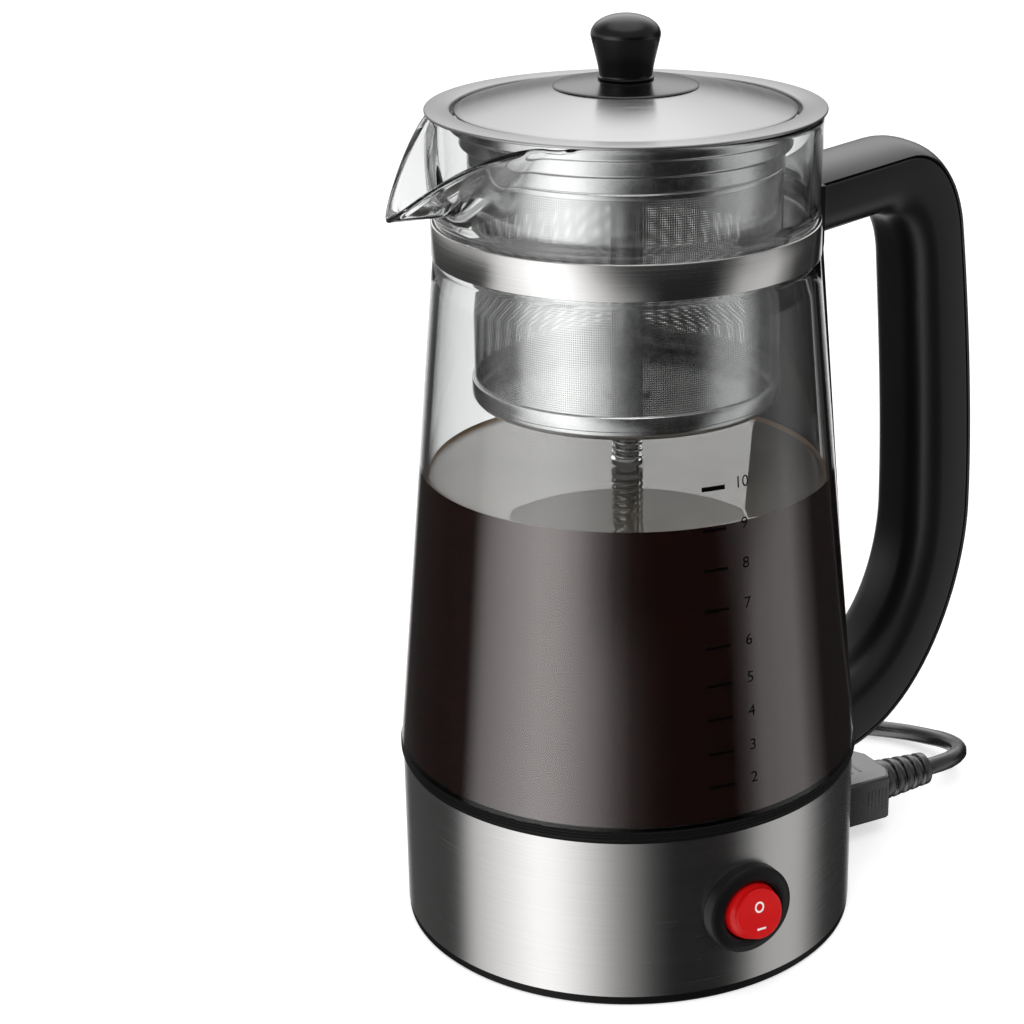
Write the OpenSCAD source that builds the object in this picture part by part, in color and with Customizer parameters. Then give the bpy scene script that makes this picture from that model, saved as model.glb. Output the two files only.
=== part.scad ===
// Electric percolator: a glass jug with a steel neck band and a looped handle on a heated base,
// a filter basket with a sprung stem, a lid, a round rocker switch and a detachable mains cord.
// Millimetres. The origin is on the jug's axis, on the surface that the base stands on. +Z is up,
// the handle is on +X, the spout on -X and the switch on -Y.

/* [Base] */
// Outside diameter of the steel shell
base_d = 143; // [136:1:152]
// Sheet thickness of the shell
shell_wall = 0.8; // [0.6:0.1:1.2]
// Height of the steel shell
shell_h = 51.6; // [48:0.2:60]
// Height at which the shell starts, above the surface
edge_h = 3.2; // [2.8:0.1:5]
// Height of the collar that shows between shell and glass
collar_h = 4.1; // [3:0.1:7]
// How far the foot ring stands below the base cover
foot_h = 0.8; // [0.5:0.1:1.2]
// Width of the foot ring
foot_w = 7; // [5:0.5:9]
// Wall of the plastic base mouldings
moulding_wall = 2.4; // [1.8:0.1:3]
// How far the base screws stand in from the foot ring
screw_inset = 7.5; // [7:0.5:12]

/* [Jug] */
// Wall of the glass
glass_wall = 2.6; // [2:0.1:3.5]
// Height of the glass cone, from the collar to the shoulder
cone_h = 153.6; // [140:0.2:170]
// Outside diameter of the shoulder, under the neck band
shoulder_d = 115.2; // [112:0.2:120]
// Height of the neck, from the shoulder to the rim
neck_h = 44.3; // [42:0.1:52]
// How far the neck stands in from the shoulder
neck_step = 0.7; // [0.4:0.1:1.2]
// How far the spout's tip stands out from the neck
spout_reach = 23; // [16:0.5:30]
// How far the spout's tip lies below the rim
spout_drop = 22; // [18:0.5:26]
// How far the spout's keel meets the neck below the rim
spout_depth = 26; // [23:0.5:28]
// Angle that each side of the spout takes up on the neck
spout_angle = 38; // [28:1:44]

/* [Neck band] */
// Height of the band
band_h = 10.6; // [8:0.2:12]
// Thickness of the band
band_t = 0.8; // [0.5:0.1:1]
// Height of the band's lower edge over the shoulder
band_lift = 2.1; // [1.6:0.1:3]

/* [Handle] */
// How far the grip's outer face stands out from the shell
handle_reach = 51; // [46:0.5:60]
// Width of the handle
handle_w = 29; // [26:0.5:34]
// Height of the upper arm
arm_h = 19.4; // [17:0.2:22]
// Slope of the upper arm
arm_slope = 8; // [4:0.5:12]
// Thickness of the grip
grip_t = 22; // [18:0.5:25]
// Thickness of the cover strip on the outer side
cover_t = 3.2; // [2.4:0.1:4.5]
// Width of the spine, the back plate that lies along the glass
spine_w = 41; // [36:0.5:44]
// Thickness of the spine
spine_t = 2.5; // [2.2:0.1:3.2]

/* [Basket] */
// Outside diameter of the basket
basket_d = 92; // [84:0.5:94]
// Depth of the basket below the flange
basket_depth = 86.6; // [70:0.2:95]
// Sheet thickness of the basket
basket_wall_t = 0.5; // [0.4:0.1:0.7]
// Thickness of the flange that rests on the rim
flange_t = 1; // [0.8:0.1:1.6]
// How far the flange stands out over the neck
flange_over = 1.8; // [1:0.1:3]

/* [Stem] */
// Outside diameter of the stem
stem_d = 7.4; // [6.6:0.1:8]
// Wall of the stem
stem_wall = 0.9; // [0.7:0.1:1.1]
// Outside diameter of the bell at its foot
bell_d = 26; // [22:0.5:29]
// Wire of the spring
spring_wire = 0.8; // [0.6:0.05:0.9]
// Length of the fitted spring
spring_l = 20.6; // [16:0.2:26]
// Turns of the spring
spring_turns = 9; // [6:1:11]

/* [Lid] */
// Rise of the lid's dome
lid_rise = 7.4; // [6:0.2:9]
// Sheet thickness of the lid
lid_t = 0.8; // [0.6:0.1:1.2]
// Diameter of the black disc under the knob
disc_d = 42.6; // [34:0.2:50]
// Largest diameter of the knob
knob_d = 20.4; // [18:0.2:26]
// Height of the knob
knob_h = 18.4; // [17:0.2:24]

/* [Switch] */
// Diameter of the switch bezel
bezel_d = 28; // [27:0.5:30]
// Height of the switch centre
switch_z = 29; // [27:0.5:34]
// Diameter of the rocker's round side
rocker_d = 18; // [16:0.2:19]
// Tilt of the rocker each way
rocker_tilt = 11; // [8:0.5:12]

/* [Inlet and connector] */
// Height of the inlet's axis
inlet_z = 14.2; // [14:0.1:15]
// Width of the connector
plug_w = 24; // [22:0.5:25]
// Height of the connector
plug_h = 16; // [15:0.5:16.5]
// Depth of the connector's nose in the inlet
nose_l = 17; // [15:0.5:18]
// Length of the connector outside the shell
grip_l = 26; // [24:0.5:27]
// Length of the strain relief
relief_l = 20; // [19:0.5:21]
// Diameter of the cord
cord_d = 6; // [5:0.1:6.2]

/* [Hidden] */
$fn = 64;
fit = 0.2;
snug = 0.1;
eps = 0.01;

// Heights of the base and the jug
base_r = base_d/2;
cover_z = foot_h;
shell_z = edge_h;
shell_top = shell_z + shell_h;
seam_z = shell_top + collar_h;
shoulder_z = seam_z + cone_h;
rim_z = shoulder_z + neck_h;
shell_in = base_r - shell_wall;
collar_over = 0.5;
foot_r = base_r - foot_w/2 - 1;
screw_ring_r = foot_r - foot_w/2 - screw_inset;

// Radii of the glass
glass_foot_r = base_r + collar_over - snug;
shoulder_r = shoulder_d/2;
neck_r = shoulder_r - neck_step;
rim_flare = 0.8;
rim_r = neck_r + rim_flare;
function glass_r(z) = glass_foot_r + (shoulder_r - glass_foot_r)*(z - seam_z)/cone_h;

// Heating plate, carried by the collar's ledge
ledge_w = 4;
plate_t = 1;
plate_lip = 4;
collar_in = glass_foot_r - glass_wall - 3;
plate_r = collar_in - snug;
plate_z = shell_top + 1.6;
plate_top = plate_z + plate_t;
well_r = bell_d/2 + 2;
well_depth = 2.5;
well_z = plate_z - well_depth;
spreader_t = 3;
element_r = 34;
element_tube_r = 3.2;
element_z = plate_z - spreader_t - element_tube_r - snug;
element_gap = 50;
wire_r = 1.1;
wire_stub = 1.5;
post_r = 4.2;
base_screw_r = 1.6;

// Neck band
band_z = shoulder_z + band_lift;
band_in = neck_r + snug;
band_out = band_in + band_t;
lug_l = 11;
lug_gap = 2.2;
lug_z = band_z + 3;
lug_h = band_h - 3;
lug_mid = lug_z + lug_h/2;
band_mid = band_z + band_h/2;
block_x = band_out + lug_l/2;
clamp_x = block_x + 1.8;
seat_x = block_x - 2.2;

// Handle: an outer and an inner line in the XZ plane, each of an arm, a corner, a grip and a heel
reach_x = base_r + handle_reach;
arm_x0 = neck_r - 4;
arm_top0 = band_mid + 11.6;
arm_bot0 = arm_top0 - arm_h;
arm_k = tan(arm_slope);
edge_round = 2;
palm_round = 7.5;
corner_out = reach_x - 30;
corner_in = reach_x - 39.5;
grip_top = arm_bot0 + 2.4;
grip_low = seam_z + 58;
grip_in = reach_x - grip_t;
heel_z = shell_top - 20;
function on_arm_top(x) = [x, arm_top0 + arm_k*(x - arm_x0)];
function on_arm_bot(x) = [x, arm_bot0 + arm_k*(x - arm_x0)];
function mix(a, b, t) = a + (b - a)*t;
function bezier(p, t) =
    let (q = [for (i = [0:2]) mix(p[i], p[i + 1], t)])
    let (r = [for (i = [0:1]) mix(q[i], q[i + 1], t)])
    mix(r[0], r[1], t);
function bezier_points(p, n) = [for (i = [1:n]) bezier(p, i/n)];
shoulder_out = [reach_x - 8, grip_top];
shoulder_in = [grip_in - 4.5, grip_top - 15];
outer_line = concat(
    [on_arm_top(arm_x0), on_arm_top(corner_out)],
    bezier_points([on_arm_top(corner_out), on_arm_top(corner_out + 11), shoulder_out + [-3, 15],
        shoulder_out], 6),
    bezier_points([shoulder_out, shoulder_out + [3.5, -24], [reach_x, grip_low + 33],
        [reach_x, grip_low]], 6),
    bezier_points([[reach_x, grip_low], [reach_x, grip_low - 32], [reach_x - 18.5, heel_z + 3],
        [base_r - 3, heel_z]], 8));
inner_line = concat(
    [on_arm_bot(arm_x0), on_arm_bot(corner_in)],
    bezier_points([on_arm_bot(corner_in), on_arm_bot(corner_in + 7), shoulder_in + [-1.5, 12],
        shoulder_in], 6),
    bezier_points([shoulder_in, shoulder_in + [1.5, -19], [grip_in, grip_low + 28],
        [grip_in, grip_low - 4]], 6),
    bezier_points([[grip_in, grip_low - 4], [grip_in, grip_low - 24], [grip_in - 8, seam_z + 5],
        [base_r - 12, seam_z + 1]], 8));
handle_screw_z = heel_z + 11;
screw_seat = lug_z - 2.4;
spine_low = seam_z + 1;
spine_top = arm_top0;

// Basket and its rim
flange_top = rim_z + fit + flange_t;
flange_under = rim_z + fit;
flange_r = rim_r + flange_over - rim_flare;
basket_r = basket_d/2;
basket_z = flange_under - basket_depth;
rim_sheet = 0.9;
collar_r = basket_r + 5.9;
ledge_r = basket_r + 2.9;
lid_ledge = flange_under - 4.5;
spreader_ledge = lid_ledge - 5;
skirt_low = spreader_ledge - 7;
skirt_r = basket_r + rim_sheet - 0.3;
band_low_h = 7.3;
floor_round = 3;
floor_sheet = skirt_r - basket_r - 0.05;

// Stem, spring and spreader
stem_r = stem_d/2;
sleeve_in = stem_r + 0.3;
sleeve_r = sleeve_in + 0.9;
sleeve_top = skirt_low - 12;
stem_top = spreader_ledge + 4;
bell_z = well_z + plate_t + 0.3;
bell_h = 8;
spring_r = stem_r + spring_wire/2 + 0.4;
spring_bead_z = basket_z - spring_l;
bead_h = 1.5;
clip_t = 1.4;

// Lid and knob
lid_r = collar_r - rim_sheet - 0.6;
lid_edge = flange_top - 0.5;
lid_ball = (lid_r*lid_r + lid_rise*lid_rise)/(2*lid_rise);
function lid_z(r) = lid_edge + lid_rise - lid_ball + sqrt(lid_ball*lid_ball - r*r);
lid_apex = lid_edge + lid_rise;
disc_t = 1;
knob_z = lid_apex + disc_t;
knob_r = knob_d/2;
knob_neck_r = knob_r - 2.5;
knob_screw_r = 2;

// Switch
pivot_y = -(base_r + 1.9);
bezel_face = base_r + 3.2;
bezel_ring = base_r + 4.2;
rocker_r = rocker_d/2;
rocker_bore = rocker_r + 0.3;
rocker_face = 6.4;
rocker_head_r = rocker_r - 1.3;
barrel_r = rocker_bore + 1.2;
barrel_l = 11;
pin_r = 1;
pin_play = 0.05;
pin_l = 2*rocker_bore + 3;
switch_back = base_r - barrel_l;

// Inlet and connector
inlet_wall = 1.8;
inlet_gap = 0.4;
inlet_front = base_r - 0.3;
inlet_back = base_r - nose_l - 4;
blade_y = 7;
earth_z = 3;
blade_h = 4;
blade_t = 2;
blade_l = 14;
grip_x = base_r + 0.5;
relief_x = grip_x + grip_l;
cord_r = cord_d/2;
relief_r0 = 7.2;
relief_r1 = 5.6;

// Cord: the free lead's points, then the coil behind the jug
lead_start = [relief_x + relief_l, 0, inlet_z];
lead_points = [
    [121.5, 0, 14.2], [130, 1.6, 13.6], [138.5, 7, 12.2], [144, 15.5, 10], [146, 25, 7.6], [145.8, 32, 5.9],
    [142.5, 43, 4], [136, 52, 3.3], [127.5, 60, 3.2], [115, 69, 3.2], [103, 78, 3.4], [95, 86, 3.8],
    [91, 93, 4.2]];
coil_c = [54, 104];
coil_turns = 4;
coil_r = 36;
coil_step = 7;
coil_layer = 6.8;
coil_z = 4.3;
coil_rings = 24;
tail_l = 3*cord_d;
tie_t = 1;
tie_w = 8;
tie_clear = 0.8;
plug_relief_l = 20;
plug_l = 26;
plug_body_w = 26;
plug_blade_l = 17;

// Points along curves, and solids swept along them
function unit(v) = v/norm(v);
function arc(c, r, a0, a1, n) = [for (i = [0:n]) c + r*[cos(mix(a0, a1, i/n)), sin(mix(a0, a1, i/n))]];
function heading(p, i) = unit(p[min(i + 1, len(p) - 1)] - p[max(i - 1, 0)]);
function ring(c, d, r, sides, ref) =
    let (side = unit(cross(d, ref)))
    let (up = cross(side, d))
    [for (k = [0:sides - 1]) c + r*(side*cos(360*k/sides) + up*sin(360*k/sides))];
function length_of(p, i = 0) = i >= len(p) - 1 ? 0 : norm(p[i + 1] - p[i]) + length_of(p, i + 1);
function least_gap(p, skip, d) =
    min([for (i = [0:len(p) - 1]) for (j = [i + skip:1:len(p) - 1]) norm(p[i] - p[j])]) - d;

module skin(rings) {
    n = len(rings[0]);
    last = n*(len(rings) - 1);
    sides = [for (i = [0:len(rings) - 2]) for (k = [0:n - 1])
        let (a = n*i + k, b = n*i + (k + 1) % n)
        each [[a, a + n, b], [b, a + n, b + n]]];
    start = [for (k = [1:n - 2]) [0, k, k + 1]];
    end = [for (k = [1:n - 2]) [last, last + k + 1, last + k]];
    polyhedron([for (r = rings) each r], concat(sides, start, end), convexity = 10);
}

// A round tube along points, whose way is nowhere along ref
module tube_along(p, r, sides, ref = [0, 0, 1]) {
    skin([for (i = [0:len(p) - 1]) ring(p[i], heading(p, i), r, sides, ref)]);
}

module hollow(r_out, r_in, h) {
    difference() {
        cylinder(r = r_out, h = h);
        translate([0, 0, -1]) cylinder(r = r_in, h = h + 2);
    }
}

// A wire that leaves straight along the first two of its four points and arrives so along the last two
module wire(points, ref) {
    a = points[0];
    d = points[3];
    leave = wire_stub*unit(points[1] - a);
    arrive = wire_stub*unit(points[2] - d);
    bend = bezier_points([a + 2*leave, points[1], points[2], d + 2*arrive], 10);
    tube_along(concat([a, a + leave], bend, [d + arrive, d]), wire_r, 8, ref);
}

// Outline of the glass, then of its inside, both from the foot up
bead_z = band_z + band_h + 2.6;
glass_outside = [
    [glass_foot_r, seam_z], [shoulder_r, shoulder_z], [neck_r, shoulder_z + 1.4], [neck_r, bead_z - 1.6],
    [neck_r + 0.5, bead_z], [neck_r + 0.1, bead_z + 1.6], [rim_r - 0.3, rim_z - 4], [rim_r, rim_z - 1.2]];
glass_rim = [[rim_r - 0.6, rim_z], [rim_r - glass_wall + 0.6, rim_z]];
glass_inside = [
    [rim_r - glass_wall, rim_z - 1.2], [neck_r - glass_wall, bead_z], [neck_r - glass_wall, shoulder_z + 1.4],
    [shoulder_r - glass_wall, shoulder_z - 1], [glass_foot_r - glass_wall, seam_z]];

// Spout: a cone over a V-shaped line on the neck, from the tip
spout_tip = [-(neck_r + spout_reach), 0, rim_z - spout_drop];
spout_lip = glass_wall*1.35;
module beak(r) {
    n = 12;
    base = [for (i = [-n:n]) let (t = i/n)
        [-r*cos(spout_angle*t), r*sin(spout_angle*t), rim_z - spout_depth*(1 - pow(abs(t), 1.15))]];
    back = [-r*cos(spout_angle) + 3, 0, rim_z];
    last = len(base) + 1;
    sides = [for (i = [0:2*n - 1]) each [[0, i + 1, i + 2], [last, i + 2, i + 1]]];
    top = [[0, last, 1], [0, last - 1, last]];
    polyhedron(concat([spout_tip], base, [back]), concat(sides, top), convexity = 10);
}

// Mouth of the spout: what stands over the beak between its two edges
module spout_mouth(r) {
    edges = [spout_tip, [-r*cos(spout_angle), -r*sin(spout_angle), rim_z],
        [-r*cos(spout_angle), r*sin(spout_angle), rim_z]];
    skin([edges, [for (p = edges) [p[0], p[1], rim_z + spout_lip]]]);
}

module glass_jug() {
    color([0.86, 0.9, 0.9, 0.35]) difference() {
        union() {
            rotate_extrude() polygon(concat(glass_outside, glass_rim, glass_inside));
            difference() {
                beak(neck_r - 1);
                rotate_extrude() polygon(concat(
                    [[0, seam_z], [0, rim_z + 1], [rim_r - glass_wall, rim_z + 1]], glass_inside));
            }
        }
        translate([0, 0, spout_lip]) beak(neck_r - 4);
        translate([0, 0, spout_lip/2]) spout_mouth(neck_r - 4);
    }
}

module neck_band() {
    color("silver") {
        difference() {
            translate([0, 0, band_z]) hollow(band_out, band_in, band_h);
            translate([0, -lug_gap, band_z - 1]) cube([2*band_out, 2*lug_gap, band_h + 2]);
        }
        for (s = [-1, 1]) difference() {
            translate([band_in, s*(lug_gap + band_t/2) - band_t/2, lug_z]) cube([lug_l, band_t, lug_h]);
            translate([clamp_x, 0, lug_mid]) rotate([90, 0, 0])
                cylinder(r = 1.7, h = 4*lug_gap, center = true);
            cylinder(r = band_in, h = rim_z);
        }
    }
}

module band_block() {
    color("dimgray") difference() {
        translate([band_out + 1.5, -lug_gap, lug_z]) cube([lug_l - 3, 2*lug_gap, lug_h]);
        translate([clamp_x, 0, lug_mid]) rotate([90, 0, 0]) cylinder(r = 1.6, h = 4*lug_gap, center = true);
        translate([seat_x, 0, lug_z - 1]) cylinder(r = 1.25, h = 5);
    }
}

module band_screw() {
    half = lug_gap + band_t;
    color("gainsboro") translate([clamp_x, 0, lug_mid]) rotate([90, 0, 0]) {
        translate([0, 0, -half - 1.5]) cylinder(r = 1.5, h = 2*half + 1.5 + eps);
        translate([0, 0, half]) cylinder(r = 2.8, h = 1.8);
    }
}

// Room for the band's lugs
module lug_room() {
    half = lug_gap + band_t + 2.2;
    translate([band_in, -half, lug_z]) cube([lug_l + 1, 2*half, lug_h + snug]);
}

// Room for the screw that holds the arm to the band, and for its driver
module arm_screw_room() {
    translate([seat_x, 0, screw_seat - 8]) cylinder(r = 1.7, h = lug_mid - screw_seat + 8);
    translate([seat_x, 0, screw_seat - 8]) cylinder(r = 3.2, h = 8);
}

// Room for the jug, band and spine behind the handle's ends
module jug_room() {
    collar_room = base_r + collar_over + snug;
    rotate_extrude() polygon([
        [0, shell_z], [base_r + snug, shell_z], [base_r + snug, shell_top], [collar_room, shell_top],
        [collar_room, seam_z], [shoulder_r + snug, shoulder_z], [band_out + snug, shoulder_z + 1.5],
        [band_out + snug, rim_z], [0, rim_z]]);
    spine(spine_w + 2*snug, spine_t + snug, spine_low - snug, spine_top + snug);
    lug_room();
}

// One rounded section of the handle between two points of its lines, from s0 to s1 along the way out
function handle_section(inside, outside, s0, s1, r0, r1) =
    let (u = unit(outside - inside), w = handle_w/2)
    let (flat = concat(
        arc([s0 + r0, -w + r0], r0, 270, 180, 4), arc([s0 + r0, w - r0], r0, 180, 90, 4),
        arc([s1 - r1, w - r1], r1, 90, 0, 2), arc([s1 - r1, -w + r1], r1, 0, -90, 2)))
    [for (q = flat) [inside[0] + u[0]*q[0], q[1], inside[1] + u[1]*q[0]]];

module handle_body() {
    rings = [for (i = [0:len(inner_line) - 1])
        let (t = norm(outer_line[i] - inner_line[i]))
        handle_section(inner_line[i], outer_line[i], 0, t - cover_t - fit, palm_round, 0.8)];
    color([0.1, 0.1, 0.1]) difference() {
        skin(rings);
        jug_room();
        arm_screw_room();
        translate([base_r - 1, 0, handle_screw_z]) rotate([0, 90, 0]) cylinder(r = 1.5, h = 14);
    }
}

module handle_cover() {
    rings = [for (i = [0:len(inner_line) - 1])
        let (t = norm(outer_line[i] - inner_line[i]))
        handle_section(inner_line[i], outer_line[i], t - cover_t, t, 0.3, edge_round)];
    color([0.13, 0.13, 0.13]) difference() {
        skin(rings);
        jug_room();
    }
}

// A plate of width w that follows the glass and the band from z0 to z1
module spine(w, t, z0, z1) {
    bend_z = shoulder_z + 1.5;
    intersection() {
        rotate_extrude() polygon([
            [glass_r(z0) + snug, z0], [glass_r(z0) + t, z0], [shoulder_r + t, shoulder_z],
            [band_out + t, bend_z], [band_out + t, z1], [band_out + snug, z1], [band_out + snug, bend_z],
            [shoulder_r + snug, shoulder_z]]);
        translate([0, -w/2, z0]) cube([base_r + 2*t, w, z1 - z0]);
    }
}

module handle_spine() {
    color([0.08, 0.08, 0.08]) difference() {
        spine(spine_w, spine_t, spine_low, spine_top);
        lug_room();
        arm_screw_room();
    }
}

module handle_screws() {
    color("gainsboro") {
        translate([seat_x, 0, screw_seat - 1.6]) cylinder(r = 2.8, h = 1.6);
        translate([seat_x, 0, screw_seat - eps]) cylinder(r = 1.2, h = lug_z + 3.6 - screw_seat);
        translate([shell_in - 2.6, 0, handle_screw_z]) rotate([0, 90, 0]) cylinder(r = 3, h = 2.4);
        translate([shell_in - 0.4, 0, handle_screw_z]) rotate([0, 90, 0]) cylinder(r = 1.4, h = 11);
    }
}

module base_collar() {
    spigot_r = shell_in - fit;
    spigot_h = 5;
    spigot_z = shell_top - spigot_h;
    post_low = edge_h + fit;
    color([0.09, 0.09, 0.09]) difference() {
        union() {
            rotate_extrude() polygon([
                [collar_in - ledge_w, shell_top], [collar_in - ledge_w, plate_z], [collar_in, plate_z],
                [collar_in, seam_z], [base_r + collar_over, seam_z], [base_r + collar_over, shell_top + 1.2],
                [base_r + collar_over - 0.6, shell_top + 0.6], [base_r + collar_over - 0.6, shell_top]]);
            translate([0, 0, spigot_z]) hollow(spigot_r, spigot_r - moulding_wall, spigot_h + eps);
            for (a = [60, 180, 300]) rotate([0, 0, a]) {
                translate([screw_ring_r, 0, post_low]) cylinder(r = post_r, h = shell_top - post_low);
                translate([screw_ring_r, -1.2, spigot_z]) cube([spigot_r - 1 - screw_ring_r, 2.4, spigot_h]);
            }
        }
        for (a = [60, 180, 300]) rotate([0, 0, a])
            translate([screw_ring_r, 0, 0]) cylinder(r = base_screw_r, h = edge_h + 12.2);
    }
}

module base_shell() {
    color([0.72, 0.72, 0.72]) difference() {
        translate([0, 0, shell_z]) hollow(base_r, shell_in, shell_h);
        translate([0, 0, switch_z]) rotate([90, 0, 0]) cylinder(r = barrel_r + fit, h = 2*base_r);
        translate([0, 0, inlet_z]) inlet_block(fit);
        translate([0, 0, handle_screw_z]) rotate([0, 90, 0]) cylinder(r = 1.7, h = 2*base_r);
    }
}

module base_cover() {
    upstand = shell_in - fit;
    color([0.08, 0.08, 0.08]) difference() {
        union() {
            translate([0, 0, cover_z]) cylinder(r = base_r - fit, h = edge_h - cover_z);
            translate([0, 0, edge_h - eps]) hollow(upstand, upstand - moulding_wall, 6);
        }
        translate([0, 0, cover_z - 1]) hollow(foot_r + foot_w/2 + snug, foot_r - foot_w/2 - snug, 2.2);
        translate([0, 0, inlet_z]) inlet_block(fit);
        for (a = [60, 180, 300]) rotate([0, 0, a]) translate([screw_ring_r, 0, -1]) {
            cylinder(r = base_screw_r + fit, h = 10);
            cylinder(r = 3.2, h = cover_z + 2.2);
        }
    }
}

module foot_ring() {
    color([0.14, 0.14, 0.14]) hollow(foot_r + foot_w/2, foot_r - foot_w/2, cover_z + 1.2);
}

module base_screws() {
    color("gainsboro") for (a = [60, 180, 300]) rotate([0, 0, a]) translate([screw_ring_r, 0, 0]) {
        translate([0, 0, cover_z + 0.2]) cylinder(r = 2.9, h = 1);
        translate([0, 0, cover_z + 1.1]) cylinder(r = base_screw_r - 0.1, h = edge_h + 9);
    }
}

module glass_gasket() {
    gasket_h = 3;
    color([0.8, 0.8, 0.78]) translate([0, 0, seam_z])
        hollow(glass_r(seam_z + gasket_h) - glass_wall - snug, plate_r + snug, gasket_h);
}

module heating_plate() {
    color("silver") rotate_extrude() polygon([
        [0, well_z], [well_r, well_z], [well_r + 2, plate_z], [plate_r, plate_z],
        [plate_r, plate_top + plate_lip], [plate_r - plate_t, plate_top + plate_lip],
        [plate_r - plate_t, plate_top], [well_r + 1.5, plate_top],
        [well_r - 0.5, well_z + plate_t], [0, well_z + plate_t]]);
}

module heat_spreader() {
    color([0.75, 0.76, 0.78]) translate([0, 0, plate_z - spreader_t])
        hollow(element_r + 9, well_r + 2.5, spreader_t);
}

module heating_element() {
    color([0.35, 0.34, 0.33]) rotate([0, 0, 90 + element_gap/2]) {
        translate([0, 0, element_z])
            rotate_extrude(angle = 360 - element_gap) translate([element_r, 0]) circle(r = element_tube_r);
        for (a = [0, 360 - element_gap]) rotate([0, 0, a]) translate([element_r, 0, element_z]) {
            sphere(r = element_tube_r + 0.09);
            translate([0, 0, -7]) cylinder(r = element_tube_r - 0.4, h = 7);
            translate([0, 0, -15]) cylinder(r = 1.4, h = 9);
        }
    }
}

thermostat_r = 8;
thermostat_h = 7;
thermostat_z = well_z - snug - thermostat_h;
bracket_x = well_r + 5;
module thermostat() {
    color([0.9, 0.86, 0.74]) {
        translate([0, 0, thermostat_z]) cylinder(r = thermostat_r, h = thermostat_h);
        for (s = [-1, 1]) translate([-3, s*(thermostat_r - 2.4) - 0.4, thermostat_z - 8])
            cube([6, 0.8, 8 + eps]);
    }
}

module thermostat_bracket() {
    strip = 4;
    low = thermostat_z - 1;
    color("gainsboro") difference() {
        union() {
            translate([-bracket_x, -strip, low]) cube([2*bracket_x, 2*strip, 1]);
            for (s = [-1, 1]) translate([s*(bracket_x - 0.5) - 0.5, -strip, low])
                cube([1, 2*strip, plate_z - spreader_t - low]);
        }
        for (s = [-1, 1]) translate([-3.4, s*(thermostat_r - 2.4) - 0.7, low - 1]) cube([6.8, 1.4, 3]);
    }
}

module thermal_fuse() {
    fuse_r = 2.2;
    color([0.85, 0.85, 0.8]) translate([-8, well_r + 8, plate_z - spreader_t - fuse_r - snug])
        rotate([0, 90, 0]) cylinder(r = fuse_r, h = 16);
}

// Turn and place something so that +Z points out of the base along the switch's axis
module at_switch() {
    translate([0, 0, switch_z]) rotate([90, 0, 0]) children();
}

module switch_bezel() {
    bevel = 1.6;
    bezel_r = bezel_d/2;
    color([0.07, 0.07, 0.07]) difference() {
        union() {
            difference() {
                at_switch() {
                    cylinder(r = bezel_r, h = bezel_face - bevel);
                    translate([0, 0, bezel_face - bevel])
                        cylinder(r1 = bezel_r, r2 = bezel_r - bevel, h = bevel);
                    cylinder(r = bezel_r - 3, h = bezel_ring);
                }
                cylinder(r = base_r + snug, h = rim_z);
            }
            at_switch() translate([0, 0, switch_back]) cylinder(r = barrel_r, h = barrel_l + 1.5);
        }
        at_switch() translate([0, 0, switch_back - 1]) cylinder(r = rocker_bore, h = 2*barrel_l);
        pivot(pin_r);
    }
}

module pivot(r) {
    translate([0, pivot_y, switch_z]) rotate([0, 90, 0]) cylinder(r = r, h = pin_l, center = true);
}

module rocker() {
    edge = 0.5;
    ball_front = 0.6*rocker_r;
    color([0.8, 0.06, 0.06]) translate([0, pivot_y, switch_z]) rotate([-rocker_tilt, 0, 0]) difference() {
        union() {
            intersection() {
                sphere(r = rocker_r);
                translate([-rocker_r, -ball_front, -rocker_r]) cube([rocker_d, ball_front + 3, rocker_d]);
            }
            rotate([90, 0, 0]) {
                cylinder(r = rocker_head_r, h = rocker_face - edge);
                translate([0, 0, rocker_face - edge])
                    cylinder(r1 = rocker_head_r, r2 = rocker_head_r - edge, h = edge);
            }
        }
        rotate([0, 90, 0]) cylinder(r = pin_r + pin_play, h = 2*rocker_d, center = true);
    }
}

module rocker_pin() {
    color("gainsboro") pivot(pin_r);
}

module switch_body() {
    color([0.12, 0.12, 0.12]) translate([-9, -switch_back, switch_z - 7]) cube([18, 12, 14]);
}

module switch_terminals() {
    color([0.8, 0.65, 0.3]) for (s = [-1, 1])
        translate([s*5 - 0.4, -switch_back + 12, switch_z - 3]) cube([0.8, 8, 6]);
}

module inlet_block(grow) {
    w = plug_w + 2*(inlet_gap + inlet_wall + grow);
    h = plug_h + 2*(inlet_gap + inlet_wall + grow);
    translate([inlet_back - grow, -w/2, -h/2]) cube([base_r + 2 - inlet_back + grow, w, h]);
}

module inlet_housing() {
    color([0.1, 0.1, 0.1]) translate([0, 0, inlet_z]) difference() {
        intersection() {
            inlet_block(0);
            translate([inlet_back - 1, -base_r, -base_r])
                cube([inlet_front - inlet_back + 1, base_d, base_d]);
        }
        translate([base_r - nose_l - 1, -plug_w/2 - inlet_gap, -plug_h/2 - inlet_gap])
            cube([nose_l + 4, plug_w + 2*inlet_gap, plug_h + 2*inlet_gap]);
        inlet_blades(snug, 2*nose_l);
    }
}

module inlet_blades(grow, l) {
    for (p = [[-blade_y, -earth_z], [0, earth_z], [blade_y, -earth_z]])
        translate([inlet_back - 6, p[0] - blade_t/2 - grow, p[1] - blade_h/2 - grow])
            cube([l, blade_t + 2*grow, blade_h + 2*grow]);
}

module inlet_pins() {
    color([0.8, 0.78, 0.7]) translate([0, 0, inlet_z]) inlet_blades(0, blade_l + 9);
}

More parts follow.
